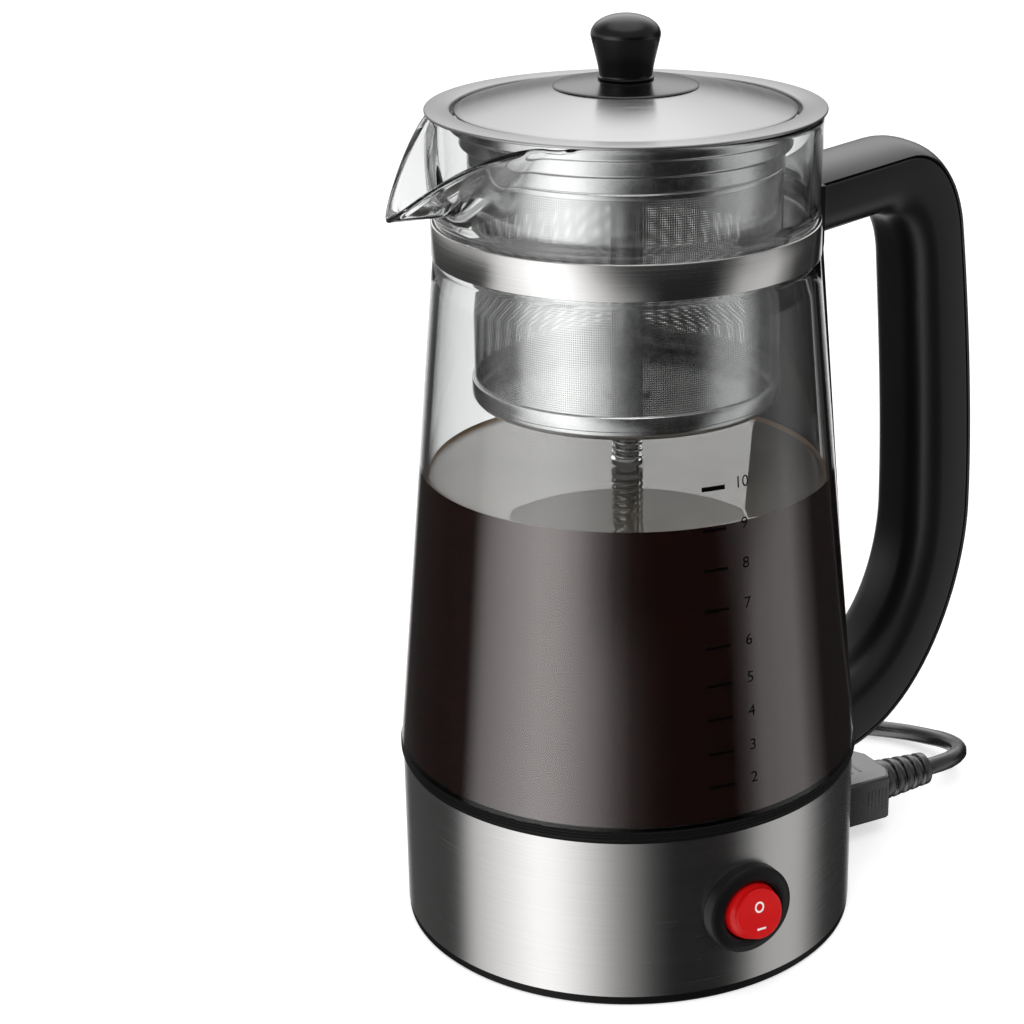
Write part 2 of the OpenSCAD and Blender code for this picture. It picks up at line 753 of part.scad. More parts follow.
module wiring() {
    tail_x = inlet_back - 6 - snug;
    tab_y = -switch_back + 20 + snug;
    pin_end = element_z - 15 - snug;
    pin_x = element_r*sin(element_gap/2);
    pin_y = element_r*cos(element_gap/2);
    stat_z = thermostat_z - 8 - snug;
    stat_y = thermostat_r - 2.4;
    color([0.55, 0.1, 0.1]) wire([
        [tail_x, -blade_y, inlet_z - earth_z], [tail_x - 12, -blade_y, inlet_z - earth_z],
        [5, tab_y + 14, switch_z], [5, tab_y, switch_z]], [1, -1, 0]);
    color([0.55, 0.1, 0.1]) wire([
        [-5, tab_y, switch_z], [-5, tab_y + 14, switch_z], [0, -stat_y, stat_z - 12],
        [0, -stat_y, stat_z]], [1, -1, 0]);
    color([0.55, 0.1, 0.1]) wire([
        [0, stat_y, stat_z], [0, stat_y, stat_z - 14], [-pin_x, pin_y, pin_end - 12],
        [-pin_x, pin_y, pin_end]], [1, 1, 0]);
    color([0.2, 0.25, 0.5]) wire([
        [tail_x, blade_y, inlet_z - earth_z], [tail_x - 12, blade_y, inlet_z - earth_z],
        [pin_x, pin_y, pin_end - 14], [pin_x, pin_y, pin_end]], [1, 1, 0]);
    color([0.3, 0.5, 0.2]) wire([
        [tail_x, 0, inlet_z + earth_z], [tail_x - 8, 0, inlet_z + earth_z],
        [bracket_x + 10, 0, thermostat_z + 2], [bracket_x + snug, 0, thermostat_z + 2]], [1, 1, 0]);
}

module basket_rim() {
    color([0.75, 0.75, 0.75]) rotate_extrude() polygon([
        [flange_r, flange_under], [flange_r, flange_top - 0.3], [flange_r - 0.3, flange_top],
        [collar_r - rim_sheet, flange_top], [collar_r - rim_sheet, lid_ledge + rim_sheet],
        [ledge_r - rim_sheet, lid_ledge + rim_sheet - 0.2], [ledge_r - rim_sheet, spreader_ledge + rim_sheet],
        [skirt_r - rim_sheet + 0.4, spreader_ledge + rim_sheet - 0.2], [skirt_r - rim_sheet + 0.4, skirt_low],
        [skirt_r, skirt_low], [skirt_r, spreader_ledge - 0.6], [ledge_r - 0.4, spreader_ledge],
        [ledge_r, spreader_ledge + 0.6], [ledge_r, lid_ledge - 0.6], [collar_r - 0.6, lid_ledge],
        [collar_r, lid_ledge + 0.6], [collar_r, flange_under]]);
}

module basket_wall() {
    color([0.62, 0.62, 0.62]) translate([0, 0, basket_z + floor_round])
        hollow(basket_r, basket_r - basket_wall_t, spreader_ledge - 1 - basket_z - floor_round);
}

module basket_floor() {
    bend = [skirt_r - floor_round, basket_z + floor_round];
    color([0.7, 0.7, 0.7]) rotate_extrude() polygon(concat(
        [[sleeve_r + snug, basket_z]], arc(bend, floor_round, -90, 0, 6),
        arc(bend, floor_round - floor_sheet, 0, -90, 6), [[sleeve_r + snug, basket_z + floor_sheet]]));
}

module basket_band() {
    low = basket_z + floor_round + 0.05;
    color([0.72, 0.72, 0.72]) translate([0, 0, low])
        hollow(skirt_r, skirt_r - floor_sheet, basket_z + band_low_h - low);
}

module basket_sleeve() {
    color([0.7, 0.7, 0.7]) {
        translate([0, 0, basket_z]) hollow(sleeve_r, sleeve_in, sleeve_top - basket_z);
        translate([0, 0, basket_z + floor_sheet]) hollow(sleeve_r + 2.5, sleeve_in, 1);
    }
}

spring_low = spring_bead_z + spring_wire/2 + snug;
spring_high = basket_z - spring_wire/2 - snug;
spring_path = [for (i = [0:8*spring_turns])
    [spring_r*cos(45*i), spring_r*sin(45*i), mix(spring_low, spring_high, i/(8*spring_turns))]];
module stem_spring() {
    color("gainsboro") tube_along(spring_path, spring_wire/2, 6);
}

module stem_tube() {
    low = bell_z + bell_h - 2;
    color("silver") translate([0, 0, low]) hollow(stem_r, stem_r - stem_wall, stem_top - low);
}

module stem_foot() {
    r = bell_d/2;
    top = bell_z + bell_h;
    neck = stem_r + 0.05;
    color("silver") rotate_extrude() polygon([
        [r - 1, bell_z], [r, bell_z], [r, bell_z + 1.5], [stem_r + 1.2, top - 3], [stem_r + 1.2, top + 3],
        [neck, top + 3], [neck, top - 2.1], [stem_r - stem_wall, top - 2.1], [stem_r - stem_wall, top - 3.5],
        [r - 1, bell_z + 1.3]]);
}

module stem_bead() {
    bead_r = spring_r + spring_wire/2;
    color("silver") translate([0, 0, spring_bead_z - bead_h]) hollow(bead_r, stem_r + 0.05, bead_h);
}

module stem_clip() {
    color("gainsboro") translate([0, 0, sleeve_top + snug]) hollow(sleeve_r + 0.6, stem_r + 0.05, clip_t);
}

module spreader_plate() {
    z = spreader_ledge + rim_sheet + snug;
    r = ledge_r - rim_sheet - fit;
    rows = [[10, 10], [18, 16], [26, 24], [34, 30], [41, 36]];
    color([0.74, 0.74, 0.74]) difference() {
        union() {
            translate([0, 0, z]) hollow(r, sleeve_in + 0.3, 0.8);
            translate([0, 0, z]) hollow(sleeve_in + 1.6, sleeve_in + 0.3, 2);
        }
        for (row = rows) for (i = [0:row[1] - 1]) rotate([0, 0, 360*i/row[1]])
            translate([row[0]*basket_r/46, 0, z - 1]) cylinder(r = 0.9, h = 3);
    }
}

module lid_disc() {
    steps = 8;
    hole = knob_screw_r + snug;
    top = [for (i = [0:steps]) let (r = mix(lid_r, hole, i/steps)) [r, lid_z(r)]];
    under = [for (i = [steps:-1:1]) let (r = mix(lid_r - lid_t, hole, i/steps)) [r, lid_z(r) - lid_t]];
    skirt = lid_ledge + rim_sheet + snug;
    color([0.78, 0.78, 0.78]) rotate_extrude() polygon(concat(
        top, under, [[lid_r - lid_t, lid_z(lid_r) - lid_t], [lid_r - lid_t, skirt], [lid_r, skirt]]));
}

module knob_escutcheon() {
    steps = 5;
    hole = knob_screw_r + snug;
    out = [for (i = [0:steps]) let (r = mix(hole, disc_d/2, i/steps)) [r, lid_z(r) + 0.05]];
    back = [for (i = [steps:-1:0]) let (r = mix(hole, disc_d/2 - 0.5, i/steps)) [r, lid_z(r) + disc_t]];
    color([0.07, 0.07, 0.07]) rotate_extrude() polygon(concat(out, back));
}

module lid_knob() {
    foot = 1;
    top_z = knob_z + knob_h;
    belly_z = knob_z + knob_h*0.66;
    crown = top_z - belly_z;
    dome = [for (i = [0:8]) [knob_r*cos(90*i/8), belly_z + crown*pow(sin(90*i/8), 0.85)]];
    color([0.06, 0.06, 0.06]) difference() {
        rotate_extrude() polygon(concat(
            [[0, knob_z + 0.05], [knob_neck_r + 0.5, knob_z + 0.05], [knob_neck_r + 0.5, knob_z + foot],
                [knob_neck_r, knob_z + foot + 1.2], [knob_neck_r + 0.9, knob_z + foot + 5],
                [knob_r - 0.5, belly_z - 1.5]],
            dome));
        cylinder(r = knob_screw_r, h = knob_z + 9);
    }
}

module knob_screw() {
    head = lid_apex - lid_t - 0.3;
    color("gainsboro") {
        translate([0, 0, head - 1.8]) cylinder(r = 3.6, h = 1.8);
        translate([0, 0, head - 0.1]) cylinder(r = knob_screw_r - 0.05, h = knob_z + 8.5 - head);
    }
}

// Connector: a nose in the inlet and a grip outside it with cut rear corners and ribbed sides
module connector_body() {
    nose_x = base_r - nose_l;
    back = plug_w/2;
    rib = 0.7;
    color([0.06, 0.06, 0.06]) translate([0, 0, inlet_z]) difference() {
        union() {
            translate([nose_x, -plug_w/2, -plug_h/2]) cube([grip_x - nose_x + eps, plug_w, plug_h]);
            translate([0, 0, -plug_h/2]) linear_extrude(plug_h) polygon([
                [grip_x, -back], [relief_x - 3, -back], [relief_x, -back + 5], [relief_x, back - 5],
                [relief_x - 3, back], [grip_x, back]]);
        }
        for (p = [[-blade_y, -earth_z], [0, earth_z], [blade_y, -earth_z]])
            translate([nose_x - 1, p[0] - blade_t/2 - 0.3, p[1] - blade_h/2 - 0.3])
                cube([nose_l + 1, blade_t + 0.6, blade_h + 0.6]);
        for (s = [-1, 1]) for (i = [0:4])
            translate([relief_x - 4.6 - 2*rib*i, s*back - rib/2, -plug_h/4]) cube([rib, rib, plug_h/2]);
    }
}

// A strain relief along +Z with rings cut into its tapering side
module ribbed_relief(l, r0, r1) {
    ribs = 4;
    pitch = l/(ribs + 1);
    function side(z) = mix(r0, r1, z/l);
    groove = [for (i = [1:ribs]) let (z = pitch*i) each [
        [side(z - 0.2*pitch), z - 0.2*pitch], [side(z) - 1, z - 0.1*pitch],
        [side(z) - 1, z + 0.2*pitch], [side(z + 0.3*pitch), z + 0.3*pitch]]];
    rotate_extrude() polygon(concat([[0, 0], [r0, 0]], groove, [[r1, l], [0, l]]));
}

module strain_relief() {
    color([0.06, 0.06, 0.06]) translate([relief_x, 0, inlet_z]) rotate([0, 90, 0])
        ribbed_relief(relief_l, relief_r0, relief_r1);
}

coil_start = [coil_c[0] + coil_r, coil_c[1], coil_z];
lead_path = concat([lead_start], lead_points, [coil_start - [0, cord_d, 0], coil_start]);
module cord_lead() {
    color([0.07, 0.07, 0.07]) tube_along(lead_path, cord_r, 10);
}

// The coil spirals in, climbs a layer in the half turn where it reverses, and spirals out again
function coil_climb(t) = min(max((t*coil_turns - coil_turns/2 + 0.25)/0.5, 0), 1);
coil_path = concat(
    [for (i = [0:coil_rings*coil_turns]) let (t = i/(coil_rings*coil_turns), a = 360*coil_turns*t)
        let (r = coil_r - coil_step*coil_turns*min(t, 1 - t), s = coil_climb(t))
        [coil_c[0] + r*cos(a), coil_c[1] + r*sin(a), coil_z + coil_layer*s*s*(3 - 2*s)]],
    [coil_start + [0, tail_l, coil_layer]]);
module cord_coil() {
    color([0.07, 0.07, 0.07]) tube_along(coil_path, cord_r, 6);
}

module coil_tie() {
    far = coil_r - coil_step/2 + cord_r + tie_clear;
    near = coil_r - coil_step*1.5 - cord_r - tie_clear;
    top = coil_z + coil_layer + cord_r + 0.3;
    color([0.2, 0.2, 0.2]) translate([coil_c[0] - far, coil_c[1], 0]) difference() {
        translate([-tie_t, -tie_w/2, 0]) cube([far - near + 2*tie_t, tie_w, top + tie_t]);
        translate([0, -tie_w, tie_t]) cube([far - near, 2*tie_w, top - tie_t]);
    }
}

tail_end = coil_start + [0, tail_l, coil_layer];
module plug_relief() {
    color([0.06, 0.06, 0.06]) translate(tail_end + [0, plug_relief_l, 0]) rotate([90, 0, 0])
        ribbed_relief(plug_relief_l, relief_r0, relief_r1);
}

plug_y = tail_end[1] + plug_relief_l;
plug_half = tail_end[2] - snug;
module wall_plug() {
    w = plug_body_w/2;
    cut = 4;
    color([0.06, 0.06, 0.06]) translate([tail_end[0], plug_y, tail_end[2]]) difference() {
        rotate([-90, 0, 0]) linear_extrude(plug_l) polygon([
            [-w, -plug_half + cut], [-w + cut, -plug_half], [w - cut, -plug_half], [w, -plug_half + cut],
            [w, plug_half - cut], [w - cut, plug_half], [-w + cut, plug_half], [-w, plug_half - cut]]);
        translate([0, -eps, 0]) plug_pins(snug);
    }
}

module plug_pins(grow) {
    root = plug_l - 6;
    for (s = [-1, 1]) translate([s*6.35 - 0.75 - grow, root, -3 - grow])
        cube([1.5 + 2*grow, plug_blade_l + 6, 6 + 2*grow]);
    translate([0, root, 5.5]) rotate([-90, 0, 0]) cylinder(r = 2.4 + grow, h = plug_blade_l + 9);
}

module plug_blades() {
    color([0.8, 0.68, 0.35]) translate([tail_end[0], plug_y, tail_end[2]]) plug_pins(0);
}

echo(spring_self_gap = least_gap(spring_path, 5, spring_wire));
echo(coil_self_gap = least_gap(coil_path, 8, cord_d));
echo(cord_length = length_of(lead_path) + length_of(coil_path));

glass_jug();
neck_band();
band_block();
band_screw();
handle_body();
handle_cover();
handle_spine();
handle_screws();
base_collar();
base_shell();
base_cover();
foot_ring();
base_screws();
glass_gasket();
heating_plate();
heat_spreader();
heating_element();
thermostat();
thermostat_bracket();
thermal_fuse();
switch_bezel();
switch_body();
switch_terminals();
rocker_pin();
inlet_housing();
inlet_pins();
wiring();
rocker();
basket_rim();
basket_wall();
basket_floor();
basket_band();
basket_sleeve();
stem_spring();
stem_tube();
stem_foot();
stem_bead();
stem_clip();
spreader_plate();
lid_disc();
knob_escutcheon();
lid_knob();
knob_screw();
connector_body();
strain_relief();
cord_lead();
cord_coil();
coil_tie();
plug_relief();
wall_plug();
plug_blades();
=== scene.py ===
"""Electric percolator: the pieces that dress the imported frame, laid out as an add-on and run as a script."""

import math

import bmesh
import bpy
from bpy.props import FloatProperty, FloatVectorProperty, IntProperty, PointerProperty
from mathutils import Matrix, Vector


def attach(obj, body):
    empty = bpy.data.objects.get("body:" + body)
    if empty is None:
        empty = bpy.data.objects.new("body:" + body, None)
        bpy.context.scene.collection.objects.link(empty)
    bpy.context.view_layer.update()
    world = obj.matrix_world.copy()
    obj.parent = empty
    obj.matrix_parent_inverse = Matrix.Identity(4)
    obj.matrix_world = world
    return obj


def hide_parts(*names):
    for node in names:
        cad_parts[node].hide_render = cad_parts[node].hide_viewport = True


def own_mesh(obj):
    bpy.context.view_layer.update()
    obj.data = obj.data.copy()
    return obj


bl_info = {
    "name": "Electric percolator",
    "version": (1, 0, 0),
    "blender": (4, 5, 0),
    "location": "View3D > Sidebar > Percolator",
    "description": "Builds the pieces of a glass percolator over its packed frame",
    "category": "Object",
}

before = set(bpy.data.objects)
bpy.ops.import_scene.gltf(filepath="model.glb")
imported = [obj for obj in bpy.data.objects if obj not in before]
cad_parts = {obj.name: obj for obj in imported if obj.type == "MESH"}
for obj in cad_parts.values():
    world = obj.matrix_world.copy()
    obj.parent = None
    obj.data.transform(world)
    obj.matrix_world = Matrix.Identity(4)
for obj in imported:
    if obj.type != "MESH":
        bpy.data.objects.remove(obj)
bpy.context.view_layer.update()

# Lengths in the code below are millimetres, as in the part's source; properties are metres
MM = 0.001

# Base and glass
BASE_R = 71.5
SHELL_TOP = 54.8
SEAM_Z = 58.9
COLLAR_OVER = 0.5
GLASS_FOOT_R = 71.9
GLASS_IN_FOOT_R = 69.3
GLASS_IN_TOP_R = 55.0
GLASS_IN_TOP_Z = 211.5
SHOULDER_R = 57.6
SHOULDER_Z = 212.5
NECK_R = 56.9
NECK_Z = 213.9
NECK_IN_R = 54.3
RIM_R = 57.7
RIM_Z = 256.8
RIM_IN_R = 55.1
LIP_H = 1.2
NECK_TOP_Z = 226.2
BEAD_Z = 227.8
BEAD_OVER = 0.5
PRINT_R = 64.0

# Neck band
BAND_LOW = 214.6
BAND_HIGH = 225.2
BAND_IN = 57.0
BAND_OUT = 57.8

# Spout
SPOUT_HALF = math.radians(38)
SPOUT_TIP = (-76.6, 0.0, 232.4)
SPOUT_IN_TIP = (-72.4, 0.0, 234.8)
SPOUT_FOOT_Z = 229.4
SPOUT_DROP = 26.0
SPOUT_LIP = 3.5
SPOUT_BULGE = 4.0
TIP_ROUND = 0.12

# The spout's fold and the pull of its rim fade out sideways, in shares of its half angle
FOLD_POWER = 1.15
FOLD_BLUR = 0.004
PULL_BLUR = 0.008
PLAIN_RIM_SIDE = 1.7

# Basket, with its wall of holes and its spring
BASKET_Z = 170.4
SKIRT_R = 46.6
PAN_ROUND = 3.0
PAN_SHEET = 0.55
SLEEVE_GAP_R = 5.0
WALL_LOW = 173.5
WALL_HIGH = 246.4
WALL_HALF_SHEET = 0.25
MESH_R = 45.75
MESH_LOW = 177.6
MESH_HIGH = 240.6
SPRING_R = 4.5
SPRING_LOW = 150.3
SPRING_HIGH = 169.9
SPRING_WIRE = 0.8

# Lid and knob
LID_SEAT_Z = 257.5
LID_R = 49.8
LID_RISE = 7.4
LID_SHEET = 0.8
KNOB_PLATE_R = 21.3
KNOB_R = 10.2
KNOB_WIDEST_Z = 278.2
KNOB_CROWN = 6.1

# Switch
SWITCH_Z = 29.0
PIVOT_Y = -73.4
ROCKER_FACE = 6.4
ROCKER_R = 7.7
ROCKER_BALL_R = 9.0
ROCKER_TILT = math.radians(-11)
BARREL_IN = 9.3
BARREL_OUT = 10.5

# Connector, and the cord's way from it to its coil
INLET_Z = 14.2
GRIP_X = 72.0
RELIEF_X = 98.0
RELIEF_L = 20.0
RELIEF_R = (7.2, 5.6)
LEAD_POINTS = [
    (118, 0, 14.2), (121.5, 0, 14.2), (130, 1.6, 13.6), (138.4, 7, 12.2), (143.8, 15.5, 10),
    (145.75, 25, 7.6), (145.5, 32, 5.9), (142.4, 43, 4), (136, 52, 3.3), (127.5, 60, 3.2),
    (115, 69, 3.2), (103, 78, 3.4), (95, 86, 3.8), (91, 93, 4.2), (90, 98, 4.3), (90, 104, 4.3)]
COIL_CENTRE = (54.0, 104.0)
COIL_R = 36.0
COIL_STEP = 7.0
COIL_Z = 4.3
COIL_LAYER = 6.8
TAIL_END = (90.0, 122.0, 11.1)

# Back plate of the handle
PLATE_LOW = 59.9
PLATE_TOP = 233.0
PLATE_T = 2.5

# Brightness round the studio by bearing from the camera, in degrees to its right, for the lowest directions
BASE_LIGHT = (
    (-180, 1.0), (-167, 1.0), (-156, 0.08), (-108, 0.05), (-98, 0.08), (-86, 0.75), (-69, 1.08), (-47, 1.6),
    (-37, 1.5), (-27, 1.2), (-17, 0.86), (-7, 0.5), (2, 0.3), (12, 0.09), (22, 0.015), (54, 0.012),
    (62, 0.15), (71, 0.5), (86, 0.62), (97, 0.62), (106, 0.28), (118, 0.04), (156, 0.02), (167, 1.0),
    (180, 1.0))

# The same for higher directions: each row fades in over the one before between two heights of the direction
LIGHT_ABOVE = (
    (((-180, 1.0), (-167, 1.0), (-156, 0.05), (-108, 0.03), (-90, 0.04), (-79, 0.78), (-69, 1.1), (-47, 1.75),
      (-37, 1.65), (-27, 1.25), (-17, 0.8), (-7, 0.35), (2, 0.1), (12, 0.03), (22, 0.012), (54, 0.012),
      (62, 0.15), (71, 0.5), (86, 0.62), (97, 0.62), (106, 0.28), (118, 0.04), (156, 0.02), (167, 1.0),
      (180, 1.0)), -0.42, -0.36),
    (((-180, 1.0), (-167, 1.0), (-156, 0.08), (-108, 0.05), (-89, 0.04), (-78, 0.75), (-69, 1.15),
      (-47, 1.75), (-37, 1.6), (-27, 1.15), (-17, 0.52), (-7, 0.15), (2, 0.035), (12, 0.012), (48, 0.012),
      (56, 0.08), (68, 0.2), (83, 0.42), (97, 0.6), (106, 0.42), (115, 0.18), (126, 0.05), (156, 0.02),
      (167, 1.0), (180, 1.0)), -0.25, -0.2),
    (((-180, 0.35), (-167, 0.4), (-156, 0.5), (-100, 0.5), (-84, 0.75), (-69, 1.15), (-47, 1.7), (-37, 1.6),
      (-27, 1.0), (-17, 0.42), (-7, 0.12), (2, 0.03), (12, 0.012), (54, 0.01), (64, 0.1), (76, 0.4),
      (94, 0.4), (104, 0.1), (112, 0.03), (150, 0.03), (167, 0.3), (180, 0.35)), -0.17, -0.13),
    (((-180, 1.25), (-162, 1.15), (-145, 0.4), (-120, 0.2), (-60, 0.3), (60, 0.3), (120, 0.3), (145, 0.6),
      (165, 1.1), (180, 1.25)), 0.1, 0.24),
    (((-180, 1.9), (-162, 1.7), (-142, 0.6), (-115, 0.2), (-60, 0.3), (60, 0.3), (115, 0.3), (142, 0.7),
      (162, 1.6), (180, 1.9)), 0.24, 0.38),
    (((-180, 1.3), (180, 1.3)), 0.72, 0.95))


def mm(length):
    """A property's metres as millimetres."""
    return length / MM


# Curves and outlines

def soft_floor(value, blur):
    """The value where it is above nothing, eased into nothing below."""
    return 0.5 * (value + math.sqrt(value * value + blur))


def smooth_step(t):
    """An eased step from 0 to 1."""
    t = min(1.0, max(0.0, t))
    return t * t * (3 - 2 * t)


def lerp(a, b, t):
    """The point or number that lies t of the way from a to b."""
    if isinstance(a, (int, float)):
        return a + (b - a) * t
    return tuple(p + (q - p) * t for p, q in zip(a, b))


def bezier(points, steps):
    """Points along a cubic Bezier curve, without its first point."""
    found = []
    for i in range(1, steps + 1):
        row = points
        while len(row) > 1:
            row = [lerp(p, q, i / steps) for p, q in zip(row, row[1:])]
        found.append(row[0])
    return found


def through(points, steps):
    """A smooth line through points, with so many steps from each to the next."""
    found = []
    ends = [points[0], *points, points[-1]]
    for a, b, c, d in zip(ends, ends[1:], ends[2:], ends[3:]):
        for k in range(steps):
            t = k / steps
            found.append(tuple(
                0.5 * (2 * q + (r - p) * t + (2 * p - 5 * q + 4 * r - s) * t * t
                       + (3 * q - p - 3 * r + s) * t ** 3)
                for p, q, r, s in zip(a, b, c, d)))
    return [*found, points[-1]]


def rounded(points, radius, steps=4):
    """A closed outline with rounded corners; a third value of a point is that corner's own radius."""
    found = []
    for before, here, after in zip([points[-1], *points], points, [*points[1:], points[0]]):
        corner = Vector(here[:2])
        to_before = Vector(before[:2]) - corner
        to_after = Vector(after[:2]) - corner
        size = here[2] if len(here) > 2 else radius
        angle = to_before.angle(to_after)
        if size <= 0 or angle > math.pi - 0.01:
            found.append(tuple(corner))
            continue
        reach = min(size / math.tan(angle / 2), 0.48 * to_before.length, 0.48 * to_after.length)
        size = reach * math.tan(angle / 2)
        middle = (to_before.normalized() + to_after.normalized()).normalized()
        centre = corner + middle * size / math.sin(angle / 2)
        start = corner + to_before.normalized() * reach - centre
        end = corner + to_after.normalized() * reach - centre
        turn = math.atan2(start.x * end.y - start.y * end.x, start.dot(end))
        for k in range(steps + 1):
            found.append(tuple(centre + Matrix.Rotation(turn * k / steps, 2) @ start))
    return found


def ring_outline(inner, outer, low, high, edge, steps):
    """Outline of a flat ring between two radii and two heights, with rounded edges."""
    return rounded([(inner, low), (outer, low), (outer, high), (inner, high)], edge, steps)


def lathe(profile, steps=160):
    """Vertices and faces of a closed outline of (radius, height) turned round Z."""
    verts, faces, rows = [], [], []
    for r, z in profile:
        if r < 1e-6:
            rows.append([len(verts)] * steps)
            verts.append((0.0, 0.0, z))
            continue
        rows.append(list(range(len(verts), len(verts) + steps)))
        for k in range(steps):
            a = 2 * math.pi * k / steps
            verts.append((r * math.cos(a), r * math.sin(a), z))
    for low, high in zip(rows, [*rows[1:], rows[0]]):
        for k in range(steps):
            j = (k + 1) % steps
            face = list(dict.fromkeys([low[k], low[j], high[j], high[k]]))
            if len(face) > 2:
                faces.append(face)
    return verts, faces


def sweep(rings, closed=False):
    """Vertices and faces of a skin over equal rings, capped at both ends unless it is closed."""
    n = len(rings[0])
    verts = [p for ring in rings for p in ring]
    faces = []
    for i in range(len(rings) if closed else len(rings) - 1):
        j = (i + 1) % len(rings)
        for k in range(n):
            m = (k + 1) % n
            faces.append([n * i + k, n * i + m, n * j + m, n * j + k])
    if not closed:
        faces.append(list(range(n)))
        faces.append(list(range(n * (len(rings) - 1), n * len(rings))))
    return verts, faces


def joined(*shapes):
    """Several shapes as one list of vertices and one of faces."""
    verts, faces = [], []
    for more_verts, more_faces in shapes:
        faces.extend([[i + len(verts) for i in face] for face in more_faces])
        verts.extend(more_verts)
    return verts, faces


def placed(shape, matrix):
    """A shape moved by a matrix."""
    verts, faces = shape
    return [tuple(matrix @ Vector(v)) for v in verts], faces


def block(low, high, edge=0.3):
    """A box between two corners with its upright edges and its rims rounded."""
    x = (low[0] + high[0]) / 2
    y = (low[1] + high[1]) / 2
    half = ((high[0] - low[0]) / 2, (high[1] - low[1]) / 2)
    rings = []
    for z, inset in ((low[2], edge), (low[2] + 0.3 * edge, 0.3 * edge), (low[2] + edge, 0),
                     (high[2] - edge, 0), (high[2] - 0.3 * edge, 0.3 * edge), (high[2], edge)):
        a, b = half[0] - inset, half[1] - inset
        flat = rounded([(-a, -b), (a, -b), (a, b), (-a, b)], edge, 3)
        rings.append([(x + p, y + q, z) for p, q in flat])
    return sweep(rings)


# Finishes: one class wraps a socket, one builds a material's nodes

class Signal:
    """A socket of a node tree; arithmetic on it adds Math nodes to that tree."""

    def __init__(self, nodes, socket):
        self.nodes = nodes
        self.socket = socket

    def math(self, operation, *values):
        """A Math node over these values."""
        return self.nodes.node("ShaderNodeMath", {"operation": operation}, dict(enumerate(values)))

    def __add__(self, other):
        return self.math("ADD", self, other)

    def __radd__(self, other):
        return self.math("ADD", other, self)

    def __sub__(self, other):
        return self.math("SUBTRACT", self, other)

    def __rsub__(self, other):
        return self.math("SUBTRACT", other, self)

    def __mul__(self, other):
        return self.math("MULTIPLY", self, other)

    def __rmul__(self, other):
        return self.math("MULTIPLY", other, self)

    def __truediv__(self, other):
        return self.math("DIVIDE", self, other)

    def __rtruediv__(self, other):
        return self.math("DIVIDE", other, self)


class Nodes:
    """A node tree that is built node by node."""

    def __init__(self, tree):
        self.tree = tree

    def node(self, kind, settings=None, inputs=None, output=0):
        """One node: its type, its settings (a ramp's are its stops), its sockets' values or links."""
        made = self.tree.nodes.new(kind)
        for key, value in (settings or {}).items():
            if key == "stops":
                while len(made.color_ramp.elements) < len(value):
                    made.color_ramp.elements.new(1.0)
                for element, (position, colour) in zip(made.color_ramp.elements, value):
                    element.position = position
                    element.color = colour
            else:
                setattr(made, key, value)
        for key, value in (inputs or {}).items():
            if isinstance(value, Signal):
                self.tree.links.new(value.socket, made.inputs[key])
            else:
                made.inputs[key].default_value = value
        return Signal(self, made.outputs[output])

    def mix(self, factor, a, b):
        """A colour between a and b."""
        return self.node("ShaderNodeMix", {"data_type": "RGBA"}, {0: factor, 6: a, 7: b}, 2)


class Finish(Nodes):
    """A material: constants go on the shader's own sockets, patterns are fed to it."""

    def __init__(self, name, constants):
        self.material = bpy.data.materials.new(name)
        self.material.use_nodes = True
        super().__init__(self.material.node_tree)
        self.shader = next(n for n in self.tree.nodes if n.type == "BSDF_PRINCIPLED")
        for socket, value in constants.items():
            self.shader.inputs[socket].default_value = value
        self.place = self.node("ShaderNodeTexCoord", output="Object")

    def feed(self, socket, signal):
        """Link a pattern to one of the shader's sockets."""
        self.tree.links.new(signal.socket, self.shader.inputs[socket])

    def noise(self, scale, detail=3.0, roughness=0.55, place=None):
        """Noise over the piece; scale is one number or one for each axis."""
        scale = scale if isinstance(scale, tuple) else (scale, scale, scale)
        at = self.node("ShaderNodeMapping", None, {"Vector": place or self.place, "Scale": scale})
        return self.node(
            "ShaderNodeTexNoise", None,
            {"Vector": at, "Scale": 1.0, "Detail": detail, "Roughness": roughness})

    def bump(self, height, strength, distance=0.0002):
        """Let a pattern raise the surface."""
        self.feed("Normal", self.node(
            "ShaderNodeBump", None, {"Height": height, "Strength": strength, "Distance": distance}))


def shade(colour, factor):
    """A colour made lighter or darker."""
    return tuple(min(1.0, c * factor) for c in colour[:3]) + (1.0,)


def brushed_steel(name, colour, rough, grain):
    """Steel with fine lines that run across the third axis of grain."""
    finish = Finish(name, {"Metallic": 1.0, "IOR": 2.5, "Anisotropic": 0.8, "Anisotropic Rotation": 0.25})
    lines = finish.noise(grain, 4.0, 0.65)
    soft = finish.noise(9.0, 2.0)
    finish.feed("Base Color", finish.mix(lines, shade(colour, 0.86), shade(colour, 1.06)))
    finish.feed("Roughness", rough + (lines - 0.5) * 0.16 + (soft - 0.5) * 0.06)
    finish.bump(lines, 0.03, 0.00003)
    return finish.material


